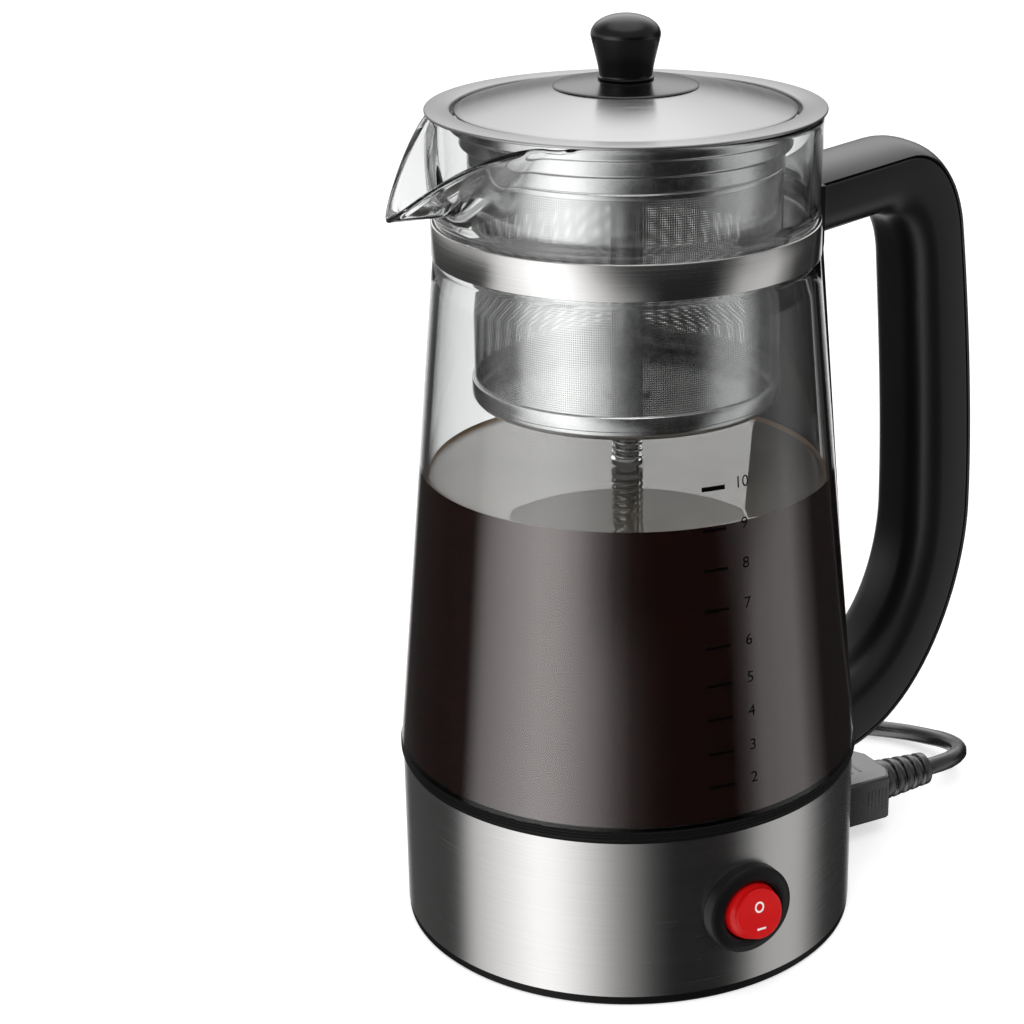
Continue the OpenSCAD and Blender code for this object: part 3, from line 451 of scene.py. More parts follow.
def spun_steel(name, colour, rough, edge):
    """Steel with fine rings about the piece's axis; edge is its share of light at a flat angle."""
    finish = Finish(name, {
        "Metallic": 1.0, "IOR": 2.5, "Specular Tint": (edge, edge, edge, 1.0),
        "Anisotropic": 0.85, "Anisotropic Rotation": 0.25})
    flat = finish.node(
        "ShaderNodeVectorMath", {"operation": "MULTIPLY"}, {0: finish.place, 1: (1.0, 1.0, 0.0)})
    radius = finish.node("ShaderNodeVectorMath", {"operation": "LENGTH"}, {0: flat}, "Value")
    around = finish.node("ShaderNodeVectorMath", {"operation": "NORMALIZE"}, {0: flat})
    turn = finish.node("ShaderNodeSeparateXYZ", None, {0: around}, 0)
    rings = finish.node("ShaderNodeCombineXYZ", None, {0: radius * 1900.0, 1: turn * 1.5, 2: 0.0})
    lines = finish.node(
        "ShaderNodeTexNoise", None, {"Vector": rings, "Scale": 1.0, "Detail": 3.0, "Roughness": 0.6})
    finish.feed("Base Color", finish.mix(lines, shade(colour, 0.9), shade(colour, 1.05)))
    finish.feed("Roughness", rough + (lines - 0.5) * 0.14)
    finish.bump(lines, 0.04, 0.00004)
    return finish.material


def bare_metal(name, colour, rough, spots=260.0):
    """Plain metal with a faint clouding."""
    finish = Finish(name, {"Metallic": 1.0, "IOR": 2.5})
    cloud = finish.noise(spots, 4.0)
    fine = finish.noise(spots * 9, 2.0)
    finish.feed("Base Color", finish.mix(cloud, shade(colour, 0.88), shade(colour, 1.05)))
    finish.feed("Roughness", rough + (cloud - 0.5) * 0.18 + (fine - 0.5) * 0.08)
    finish.bump(fine, 0.05, 0.00003)
    return finish.material


def moulding(name, colour, rough, grain, strength, ior=1.5):
    """Moulded plastic or rubber with a fine grain and a faint bloom."""
    finish = Finish(name, {"IOR": ior})
    fine = finish.noise(grain, 3.0)
    bloom = finish.noise(32.0, 2.0)
    finish.feed("Base Color", finish.mix(bloom, shade(colour, 0.82), shade(colour, 1.18)))
    finish.feed("Roughness", rough + (fine - 0.5) * 0.14 + (bloom - 0.5) * 0.05)
    finish.bump(fine, strength, 0.00008)
    return finish.material


def clear_glass(name, colour):
    """Pressed glass with a faint ripple."""
    finish = Finish(name, {
        "Base Color": colour, "Roughness": 0.0, "IOR": 1.47, "Transmission Weight": 1.0})
    finish.bump(finish.noise(22.0, 1.0), 0.03, 0.0015)
    return finish.material


def dark_liquid(name, colour, rough, ior):
    """Coffee, seen through the wall or from above."""
    finish = Finish(name, {"IOR": ior, "Specular Tint": (1.0, 0.91, 0.9, 1.0)})
    cloud = finish.noise(28.0, 3.0)
    finish.feed("Base Color", finish.mix(cloud, shade(colour, 0.75), shade(colour, 1.25)))
    finish.feed("Roughness", rough + (cloud - 0.5) * 0.02)
    return finish.material


def printing(name, colour):
    """Printed marks, with ink that is a little uneven."""
    finish = Finish(name, {"IOR": 1.1})
    ink = finish.noise(3500.0, 2.0)
    finish.feed("Base Color", finish.mix(ink, shade(colour, 0.9), shade(colour, 1.1)))
    finish.feed("Roughness", 0.45 + (ink - 0.5) * 0.2)
    return finish.material


def finish_of(name):
    """The material of that name, made at its first use."""
    if name in bpy.data.materials:
        return bpy.data.materials[name]
    s = bpy.context.scene.percolator
    steel = s.base.steel_colour
    plastic = s.base.plastic_colour
    makers = {
        "glass_clear": (clear_glass, s.jug.glass_colour),
        "coffee_side": (dark_liquid, s.jug.coffee_colour, 0.05, 2.1),
        "coffee_top": (dark_liquid, s.jug.surface_colour, 0.02, 1.65),
        # The coffee's top: a lighter grey-brown copy of the coffee, painted sheen standing in for the light
        # its surface mirrors
        "coffee_edge": (dark_liquid, s.jug.edge_colour, 0.1, 1.4),
        "mark_print": (printing, s.jug.mark_colour),
        "sign_print": (printing, s.switch.sign_colour),
        "shell_steel": (brushed_steel, steel, 0.24, (26.0, 26.0, 2600.0)),
        "band_steel": (brushed_steel, shade(steel, 1.2), 0.2, (30.0, 30.0, 3000.0)),
        "flange_steel": (spun_steel, s.lid.flange_colour, 0.34, 0.7),
        "lid_steel": (spun_steel, s.lid.steel_colour, 0.24, 0.5),
        "basket_steel": (bare_metal, s.basket.steel_colour, 0.19),
        "stem_steel": (bare_metal, s.basket.steel_colour, 0.12, 90.0),
        "screw_steel": (bare_metal, (0.5, 0.5, 0.5, 1.0), 0.3),
        "aluminium_cast": (bare_metal, (0.72, 0.73, 0.75, 1.0), 0.42),
        "element_steel": (bare_metal, (0.2, 0.19, 0.18, 1.0), 0.5),
        "brass_tab": (bare_metal, (0.72, 0.52, 0.22, 1.0), 0.3),
        "handle_black": (moulding, s.handle.colour, 0.34, 5200.0, 0.04, 1.6),
        "knob_black": (moulding, s.lid.knob_colour, 0.22, 4200.0, 0.01, 1.5),
        "base_black": (moulding, plastic, 0.36, 4200.0, 0.05, 1.2),
        "bezel_black": (moulding, plastic, 0.36, 5200.0, 0.04, 1.33),
        "rubber_foot": (moulding, (0.018, 0.018, 0.018, 1.0), 0.72, 2600.0, 0.16),
        "cord_sheath": (moulding, s.cord.colour, 0.26, 2400.0, 0.05, 2.0),
        "rocker_red": (moulding, s.switch.rocker_colour, 0.2, 3800.0, 0.02, 1.35),
        "gasket_pale": (moulding, (0.72, 0.72, 0.7, 1.0), 0.55, 1800.0, 0.06),
        "phenolic_block": (moulding, (0.78, 0.68, 0.48, 1.0), 0.5, 1500.0, 0.1),
        "wire_sleeve": (moulding, (0.33, 0.06, 0.03, 1.0), 0.42, 1500.0, 0.05),
    }
    maker, *values = makers[name]
    return maker(name, *values)


def add_piece(name, shape, finish, body, nodes=(), sharp=32.0):
    """A finished mesh piece, closed, smooth up to an angle, that rides on a body."""
    verts, faces = shape
    mesh = bpy.data.meshes.new(name)
    mesh.from_pydata([tuple(MM * c for c in v) for v in verts], [], faces)
    form = bmesh.new()
    form.from_mesh(mesh)
    bmesh.ops.remove_doubles(form, verts=form.verts, dist=2e-7)
    bmesh.ops.recalc_face_normals(form, faces=form.faces)
    form.to_mesh(mesh)
    form.free()
    return add_mesh(name, mesh, finish, body, nodes, sharp)


def add_mesh(name, mesh, finish, body, nodes=(), sharp=32.0):
    """A piece from a mesh that is already in place, in metres."""
    mesh.shade_smooth()
    mesh.set_sharp_from_angle(angle=math.radians(sharp))
    piece = bpy.data.objects.new(name, mesh)
    bpy.context.scene.collection.objects.link(piece)
    if not mesh.materials:
        mesh.materials.append(finish_of(finish))
    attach(piece, body)
    if nodes:
        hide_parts(*nodes)
    return piece


def grown(name, tree, inputs):
    """The plain mesh that a Geometry Nodes tree makes from these named inputs."""
    holder = bpy.data.objects.new(name, bpy.data.meshes.new(name + "_seed"))
    bpy.context.scene.collection.objects.link(holder)
    modifier = holder.modifiers.new("form", "NODES")
    modifier.node_group = tree
    for item in tree.interface.items_tree:
        if item.in_out == "INPUT":
            modifier[item.identifier] = inputs[item.name]
    bpy.context.view_layer.update()
    seen = holder.evaluated_get(bpy.context.evaluated_depsgraph_get())
    mesh = bpy.data.meshes.new_from_object(seen)
    mesh.name = name
    bpy.data.objects.remove(holder)
    return mesh


class Growth(Nodes):
    """A Geometry Nodes tree with named inputs."""

    def __init__(self, name, sockets):
        super().__init__(bpy.data.node_groups.new(name, "GeometryNodeTree"))
        for label, kind in sockets.items():
            self.tree.interface.new_socket(label, in_out="INPUT", socket_type=kind)
        self.tree.interface.new_socket("Geometry", in_out="OUTPUT", socket_type="NodeSocketGeometry")
        self.entry = self.tree.nodes.new("NodeGroupInput")

    def value(self, label):
        """A named input of the tree."""
        return Signal(self, self.entry.outputs[label])

    def close(self, geometry):
        """End the tree: real geometry, with its finish."""
        real = self.node("GeometryNodeRealizeInstances", None, {"Geometry": geometry})
        done = self.node("GeometryNodeSetMaterial", None, {
            "Geometry": real, "Material": self.value("Finish")})
        self.node("NodeGroupOutput", None, {0: done}, slice(0, 0))
        return self.tree


def sheet_of_holes():
    """A tree that rolls a sheet with square holes into a cylinder about Z."""
    growth = Growth("sheet_of_holes", {
        "Columns": "NodeSocketInt", "Rows": "NodeSocketInt", "Radius": "NodeSocketFloat",
        "Start": "NodeSocketFloat", "Sweep": "NodeSocketFloat", "Low": "NodeSocketFloat",
        "High": "NodeSocketFloat", "Hole share": "NodeSocketFloat", "Finish": "NodeSocketMaterial"})
    tall = growth.value("High") - growth.value("Low")
    grid = growth.node("GeometryNodeMeshGrid", None, {
        "Size X": growth.value("Sweep"), "Size Y": tall,
        "Vertices X": growth.value("Columns") + 1, "Vertices Y": growth.value("Rows") + 1})
    cells = growth.node("GeometryNodeExtrudeMesh", {"mode": "FACES"}, {
        "Mesh": grid, "Offset Scale": 0.0, "Individual": True})
    middle = Signal(growth, cells.socket.node.outputs["Top"])
    shrunk = growth.node("GeometryNodeScaleElements", {"domain": "FACE"}, {
        "Geometry": cells, "Selection": middle, "Scale": growth.value("Hole share")})
    open_sheet = growth.node("GeometryNodeDeleteGeometry", {"domain": "FACE"}, {
        "Geometry": shrunk, "Selection": middle})
    flat = growth.node("GeometryNodeInputPosition")
    along = growth.node("ShaderNodeSeparateXYZ", None, {0: flat}, 0)
    along = along + growth.value("Start") + growth.value("Sweep") * 0.5
    up = growth.node("ShaderNodeSeparateXYZ", None, {0: flat}, 1)
    rolled = growth.node("ShaderNodeCombineXYZ", None, {
        0: along.math("COSINE", along) * growth.value("Radius"),
        1: along.math("SINE", along) * growth.value("Radius"),
        2: up + growth.value("Low") + tall * 0.5})
    wall = growth.node("GeometryNodeSetPosition", None, {"Geometry": open_sheet, "Position": rolled})
    shut = growth.node("GeometryNodeMergeByDistance", None, {"Geometry": wall, "Distance": 2e-6})
    return growth.close(shut)


def wound_wire():
    """A tree that winds a round wire into a coil about Z."""
    growth = Growth("wound_wire", {
        "Turns": "NodeSocketFloat", "Radius": "NodeSocketFloat", "Low": "NodeSocketFloat",
        "High": "NodeSocketFloat", "Wire": "NodeSocketFloat", "Finish": "NodeSocketMaterial"})
    line = growth.node("GeometryNodeCurveSpiral", None, {
        "Resolution": 40, "Rotations": growth.value("Turns"), "Start Radius": growth.value("Radius"),
        "End Radius": growth.value("Radius"), "Height": growth.value("High") - growth.value("Low")})
    lift = growth.node("ShaderNodeCombineXYZ", None, {0: 0.0, 1: 0.0, 2: growth.value("Low")})
    raised = growth.node("GeometryNodeTransform", None, {"Geometry": line, "Translation": lift})
    section = growth.node("GeometryNodeCurvePrimitiveCircle", None, {
        "Resolution": 12, "Radius": growth.value("Wire") * 0.5})
    wire = growth.node("GeometryNodeCurveToMesh", None, {
        "Curve": raised, "Profile Curve": section, "Fill Caps": True})
    return growth.close(wire)


# Settings

class StageSettings(bpy.types.PropertyGroup):
    """Floor and camera."""

    floor_colour: FloatVectorProperty(
        name="Floor", description="Colour of the floor", subtype="COLOR", size=4, min=0, max=1,
        default=(0.8, 0.8, 0.8, 1))
    distance: FloatProperty(
        name="Distance", description="Camera's distance from the jug's axis, along the floor",
        default=0.69637, unit="LENGTH")
    height: FloatProperty(
        name="Height", description="Camera's height over the floor", default=0.39367, unit="LENGTH")
    turn: FloatProperty(
        name="Turn", description="Camera's way round from the switch towards the spout",
        default=math.radians(29.4), subtype="ANGLE")
    pitch: FloatProperty(
        name="Pitch", description="How far the camera looks down", default=math.radians(20.62),
        subtype="ANGLE")
    roll: FloatProperty(
        name="Roll", description="Camera's roll", default=math.radians(-0.189), subtype="ANGLE")
    lens: FloatProperty(name="Lens", description="Focal length", default=84.74, unit="CAMERA")
    shift: FloatProperty(
        name="Shift", description="Sideways shift of the picture, as a share of its width", default=-0.1126)


class JugSettings(bpy.types.PropertyGroup):
    """Glass, coffee and scale."""

    glass_colour: FloatVectorProperty(
        name="Glass", description="Tint of the glass", subtype="COLOR", size=4, min=0, max=1,
        default=(0.975, 0.985, 0.98, 1))
    coffee_colour: FloatVectorProperty(
        name="Coffee", description="Coffee behind the glass", subtype="COLOR", size=4, min=0, max=1,
        default=(0.021, 0.0045, 0.0034, 1))
    # A lighter copy of the coffee's colour for its top: painted sheen for the light that surface mirrors
    surface_colour: FloatVectorProperty(
        name="Coffee surface", description="Coffee seen from above", subtype="COLOR", size=4, min=0, max=1,
        default=(0.21, 0.187, 0.162, 1))
    edge_colour: FloatVectorProperty(
        name="Coffee edge", description="Thin coffee where it climbs the glass", subtype="COLOR", size=4,
        min=0, max=1, default=(0.42, 0.27, 0.14, 1))
    mark_colour: FloatVectorProperty(
        name="Scale", description="Print of the scale", subtype="COLOR", size=4, min=0, max=1,
        default=(0.0008, 0.0008, 0.0008, 1))
    coffee_level: FloatProperty(
        name="Coffee level", description="Height of the coffee over the floor", default=0.147, unit="LENGTH")
    mark_width: FloatProperty(
        name="Mark width", description="Length of a mark of the scale", default=0.0074, unit="LENGTH")
    figure_height: FloatProperty(
        name="Figure height", description="Height of the scale's figures", default=0.0034, unit="LENGTH")


class HandleSettings(bpy.types.PropertyGroup):
    """Handle and its cover strip."""

    colour: FloatVectorProperty(
        name="Handle", description="Colour of the handle", subtype="COLOR", size=4, min=0, max=1,
        default=(0.0045, 0.0045, 0.0048, 1))
    width: FloatProperty(name="Width", description="Width of the handle", default=0.029, unit="LENGTH")
    cover: FloatProperty(
        name="Cover", description="Thickness of the cover strip at its edges", default=0.0024, unit="LENGTH")


class BaseSettings(bpy.types.PropertyGroup):
    """Base shell and its mouldings."""

    steel_colour: FloatVectorProperty(
        name="Steel", description="Colour of shell and neck band", subtype="COLOR", size=4, min=0, max=1,
        default=(0.66, 0.65, 0.64, 1))
    plastic_colour: FloatVectorProperty(
        name="Mouldings", description="Colour of the black mouldings", subtype="COLOR", size=4, min=0, max=1,
        default=(0.005, 0.005, 0.0053, 1))


class BasketSettings(bpy.types.PropertyGroup):
    """Filter basket, stem and spring."""

    steel_colour: FloatVectorProperty(
        name="Steel", description="Colour of basket and stem", subtype="COLOR", size=4, min=0, max=1,
        default=(0.74, 0.74, 0.74, 1))
    pitch: FloatProperty(
        name="Hole pitch", description="Distance from hole to hole", default=0.00066, unit="LENGTH")
    share: FloatProperty(
        name="Hole share", description="Width of a hole as a share of the pitch", default=0.5,
        subtype="FACTOR")
    turns: IntProperty(name="Spring turns", description="Turns of the spring", default=9)


class LidSettings(bpy.types.PropertyGroup):
    """Lid, flange and knob."""

    steel_colour: FloatVectorProperty(
        name="Lid", description="Colour of the lid", subtype="COLOR", size=4, min=0, max=1,
        default=(0.55, 0.55, 0.55, 1))
    flange_colour: FloatVectorProperty(
        name="Flange", description="Colour of the flange", subtype="COLOR", size=4, min=0, max=1,
        default=(0.5, 0.5, 0.5, 1))
    knob_colour: FloatVectorProperty(
        name="Knob", description="Colour of the knob", subtype="COLOR", size=4, min=0, max=1,
        default=(0.004, 0.004, 0.0042, 1))


class SwitchSettings(bpy.types.PropertyGroup):
    """Rocker switch."""

    rocker_colour: FloatVectorProperty(
        name="Rocker", description="Colour of the rocker", subtype="COLOR", size=4, min=0, max=1,
        default=(0.56, 0.005, 0.006, 1))
    sign_colour: FloatVectorProperty(
        name="Signs", description="Colour of its two signs", subtype="COLOR", size=4, min=0, max=1,
        default=(0.85, 0.8, 0.78, 1))


class CordSettings(bpy.types.PropertyGroup):
    """Mains cord."""

    colour: FloatVectorProperty(
        name="Cord", description="Colour of cord, connector and plug", subtype="COLOR", size=4, min=0, max=1,
        default=(0.004, 0.004, 0.004, 1))
    diameter: FloatProperty(
        name="Diameter", description="Thickness of the cord", default=0.006, unit="LENGTH")
    turns: IntProperty(name="Coil turns", description="Turns of the stored coil", default=4)


class PercolatorSettings(bpy.types.PropertyGroup):
    """All settings of the percolator."""

    stage: PointerProperty(type=StageSettings, name="Stage", description="Floor and camera")
    jug: PointerProperty(type=JugSettings, name="Jug", description="Glass, coffee and scale")
    handle: PointerProperty(type=HandleSettings, name="Handle", description="Handle and cover strip")
    base: PointerProperty(type=BaseSettings, name="Base", description="Base shell and mouldings")
    basket: PointerProperty(type=BasketSettings, name="Basket", description="Basket, stem and spring")
    lid: PointerProperty(type=LidSettings, name="Lid", description="Lid, flange and knob")
    switch: PointerProperty(type=SwitchSettings, name="Switch", description="Rocker switch")
    cord: PointerProperty(type=CordSettings, name="Cord", description="Mains cord")


# Pieces

class PERCOLATOR_OT_stage(bpy.types.Operator):
    """Make the floor, the light and the camera"""

    bl_idname = "percolator.stage"
    bl_label = "Stage"

    def execute(self, context):
        s = context.scene.percolator.stage
        across = Vector((math.cos(s.turn), -math.sin(s.turn), 0))
        ahead = Vector((math.sin(s.turn), math.cos(s.turn), 0))
        look = ahead * math.cos(s.pitch) - Vector((0, 0, 1)) * math.sin(s.pitch)
        up = across.cross(look)
        camera = bpy.data.objects.new("camera", bpy.data.cameras.new("camera"))
        context.scene.collection.objects.link(camera)
        camera.data.lens = s.lens
        camera.data.sensor_width = 36.0
        camera.data.shift_x = s.shift
        camera.data.clip_start = 0.01
        turned = Matrix((across, up, -look)).transposed() @ Matrix.Rotation(s.roll, 3, "Z")
        stand = -ahead * s.distance + Vector((0, 0, s.height))
        camera.matrix_world = Matrix.Translation(stand) @ turned.to_4x4()
        context.scene.camera = camera
        self.add_floor(context, s)
        self.add_world(context, across, -ahead)
        self.add_light(context, "soft_top", (-0.5, -0.9, 1.3), 1.2, 9.0)
        return {"FINISHED"}

    def add_floor(self, context, s):
        """A pale plane that mirrors leave out, so that the steel shows the studio alone."""
        mesh = bpy.data.meshes.new("floor")
        half = 60.0
        corners = [(-half, -half, 0), (half, -half, 0), (half, half, 0), (-half, half, 0)]
        mesh.from_pydata(corners, [], [(0, 1, 2, 3)])
        floor = bpy.data.objects.new("floor", mesh)
        context.scene.collection.objects.link(floor)
        finish = Finish("floor_pale", {
            "Roughness": 0.9, "Emission Color": (1, 1, 1, 1), "Emission Strength": 0.55})
        cloud = finish.noise(1.5, 2.0)
        finish.feed("Base Color", finish.mix(cloud, shade(s.floor_colour, 0.98), shade(s.floor_colour, 1.02)))
        mesh.materials.append(finish.material)
        floor.visible_glossy = False
        floor.visible_transmission = False

    def add_world(self, context, across, back):
        """A studio with its light set by bearing and height, and a white backdrop above the floor."""
        world = bpy.data.worlds.new("studio")
        context.scene.world = world
        world.use_nodes = True
        nodes = Nodes(world.node_tree)
        way = nodes.node("ShaderNodeTexCoord", output="Generated")
        right = nodes.node("ShaderNodeVectorMath", {"operation": "DOT_PRODUCT"}, {0: way, 1: across}, "Value")
        front = nodes.node("ShaderNodeVectorMath", {"operation": "DOT_PRODUCT"}, {0: way, 1: back}, "Value")
        height = nodes.node("ShaderNodeSeparateXYZ", None, {0: way}, 2)
        turn = right.math("ARCTAN2", right, front) / (2 * math.pi) + 0.5
        light = self.ring(nodes, turn, BASE_LIGHT)
        for stops, low, high in LIGHT_ABOVE:
            rise = nodes.node("ShaderNodeMapRange", {"interpolation_type": "SMOOTHSTEP"}, {
                "Value": height, "From Min": low, "From Max": high})
            light = nodes.mix(rise, light, self.ring(nodes, turn, stops))
        backdrop = nodes.node("ShaderNodeLightPath", output="Is Camera Ray")
        half_white = (0.5, 0.5, 0.5, 1.0)
        light = nodes.mix(backdrop, light, half_white)
        background = world.node_tree.nodes["Background"]
        nodes.tree.links.new(light.socket, background.inputs["Color"])
        background.inputs["Strength"].default_value = 2.0
        context.scene.view_settings.view_transform = "Standard"

    def ring(self, nodes, turn, stops):
        """Brightness round the studio, halved, from pairs of bearing in degrees and brightness."""
        found = []
        for bearing, light in stops:
            found.append((bearing / 360 + 0.5, (light / 2, light / 2, light / 2, 1)))
        return nodes.node("ShaderNodeValToRGB", {"stops": found}, {0: turn})

    def add_light(self, context, name, place, size, power):
        """A large soft lamp that looks at the jug and isn't mirrored."""
        lamp = bpy.data.objects.new(name, bpy.data.lights.new(name, "AREA"))
        context.scene.collection.objects.link(lamp)
        lamp.data.shape = "DISK"
        lamp.data.size = size
        lamp.data.energy = power
        lamp.location = place
        lamp.rotation_euler = (Vector((0, 0, 0.12)) - Vector(place)).to_track_quat("-Z", "Y").to_euler()
        lamp.visible_glossy = False


class PERCOLATOR_OT_cord(bpy.types.Operator):
    """Lay the cord from the connector to its coil and plug"""

    bl_idname = "percolator.cord"
    bl_label = "Cord"

    def execute(self, context):
        s = context.scene.percolator.cord
        line = through(LEAD_POINTS, 2)
        steps = 24 * s.turns
        for i in range(1, steps + 1):
            t = i / steps
            r = COIL_R - COIL_STEP * s.turns * min(t, 1 - t)
            climb = smooth_step((s.turns * t - s.turns / 2 + 0.25) / 0.5)
            a = 2 * math.pi * s.turns * t
            line.append((
                COIL_CENTRE[0] + r * math.cos(a), COIL_CENTRE[1] + r * math.sin(a),
                COIL_Z + COIL_LAYER * climb))
        line.append(TAIL_END)
        curve = bpy.data.curves.new("cord", "CURVE")
        curve.dimensions = "3D"
        curve.bevel_depth = s.diameter / 2
        curve.bevel_resolution = 5
        curve.use_fill_caps = True
        spline = curve.splines.new("POLY")
        spline.points.add(len(line) - 1)
        for point, place in zip(spline.points, line):
            point.co = (*(MM * c for c in place), 1.0)
        spline.use_smooth = True
        cord = bpy.data.objects.new("cord", curve)
        context.scene.collection.objects.link(cord)
        curve.materials.append(finish_of("cord_sheath"))
        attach(cord, "cord_set")
        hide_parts("cord_lead", "cord_coil")
        length = sum(math.dist(p, q) for p, q in zip(line, line[1:])) * MM
        relief = self.add_relief("connector_relief", Matrix.Translation((RELIEF_X, 0, INLET_Z))
                                 @ Matrix.Rotation(math.radians(90), 4, "Y"), "strain_relief")
        far_relief = self.add_relief(
            "plug_boot", Matrix.Translation((TAIL_END[0], TAIL_END[1] + RELIEF_L, TAIL_END[2]))
            @ Matrix.Rotation(math.radians(90), 4, "X"), "plug_relief")
        self.add_connector()
        self.add_plug()
        return {"FINISHED"}

    def add_moulded(self, name, shape, node, sharp=32.0):
        """A moulded piece of the cord set, in place of one node."""
        return add_piece(name, shape, "cord_sheath", "cord_set", [node], sharp)

    def add_relief(self, name, matrix, node):
        """A tapering boot with rings round it."""
        ribs, groove = 4, 0.95
        step = RELIEF_L / (ribs + 1)
        side = [(0, 0), (RELIEF_R[0], 0)]
        for i in range(1, ribs + 1):
            z = step * i
            outer = lerp(*RELIEF_R, z / RELIEF_L)
            side += [(outer + 0.06, z - 0.22 * step), (outer - groove, z - 0.1 * step),
                     (outer - groove, z + 0.18 * step), (outer - 0.06, z + 0.3 * step)]
        side += [(RELIEF_R[1], RELIEF_L), (0, RELIEF_L)]
        outline = rounded([(r, z, 0) if r == 0 else (r, z) for r, z in side], 0.35, 3)
        return self.add_moulded(name, placed(lathe(outline, 48), matrix), node)

    def add_connector(self):
        """The connector: a nose in the inlet and a grip with cut corners, ribs and three bars."""
        half = 12.0
        outline = [(GRIP_X, -half, 1.2), (RELIEF_X - 3, -half, 1.0), (RELIEF_X, -half + 5, 1.0),
                   (RELIEF_X, half - 5, 1.0), (RELIEF_X - 3, half, 1.0), (GRIP_X, half, 1.2)]
        flat = rounded(outline, 1.0, 4)
        middle = (GRIP_X + RELIEF_X) / 2
        rings = []
        for z, inset in ((-8.0, 1.1), (-7.7, 0.45), (-7.0, 0.0), (7.0, 0.0), (7.7, 0.45), (8.0, 1.1)):
            long = 1 - 2 * inset / (RELIEF_X - GRIP_X)
            wide = 1 - inset / half
            rings.append([(middle + (x - middle) * long, y * wide, INLET_Z + z) for x, y in flat])
        shapes = [sweep(rings), block((54.5, -11.7, INLET_Z - 7.7), (GRIP_X + 0.6, 11.7, INLET_Z + 7.7), 0.6)]
        for y in (-11.8, 11.8):
            for i in range(6):
                x = RELIEF_X - 3.9 - 1.4 * i
                shapes.append(block((x - 0.7, y - 0.35, INLET_Z - 4), (x, y + 0.35, INLET_Z + 4), 0.2))
        for i in range(3):
            x = GRIP_X + 9.0 + 3.4 * i
            shapes.append(block((x, -4.5, INLET_Z + 7.6), (x + 1.1, 4.5, INLET_Z + 8.15), 0.25))
        return self.add_moulded("connector", joined(*shapes), "connector_body", 20.0)

    def add_plug(self):
        """The wall plug's body, with rounded edges."""
        wide, tall, cut = 13.0, 11.0, 4.0
        outline = rounded([
            (-wide, -tall + cut), (-wide + cut, -tall), (wide - cut, -tall), (wide, -tall + cut),
            (wide, tall - cut), (wide - cut, tall), (-wide + cut, tall), (-wide, tall - cut)], 2.5, 4)
        shares = ((0.0, 0.72), (0.5, 0.78), (6.0, 0.96), (9.0, 1.0), (24.8, 1.0), (25.7, 0.97), (26.0, 0.92))
        rings = []
        for y, share in shares:
            rings.append([(TAIL_END[0] + share * x, TAIL_END[1] + RELIEF_L + y, TAIL_END[2] + share * z)
                          for x, z in outline])
        return self.add_moulded("plug_body", sweep(rings), "wall_plug", 50.0)


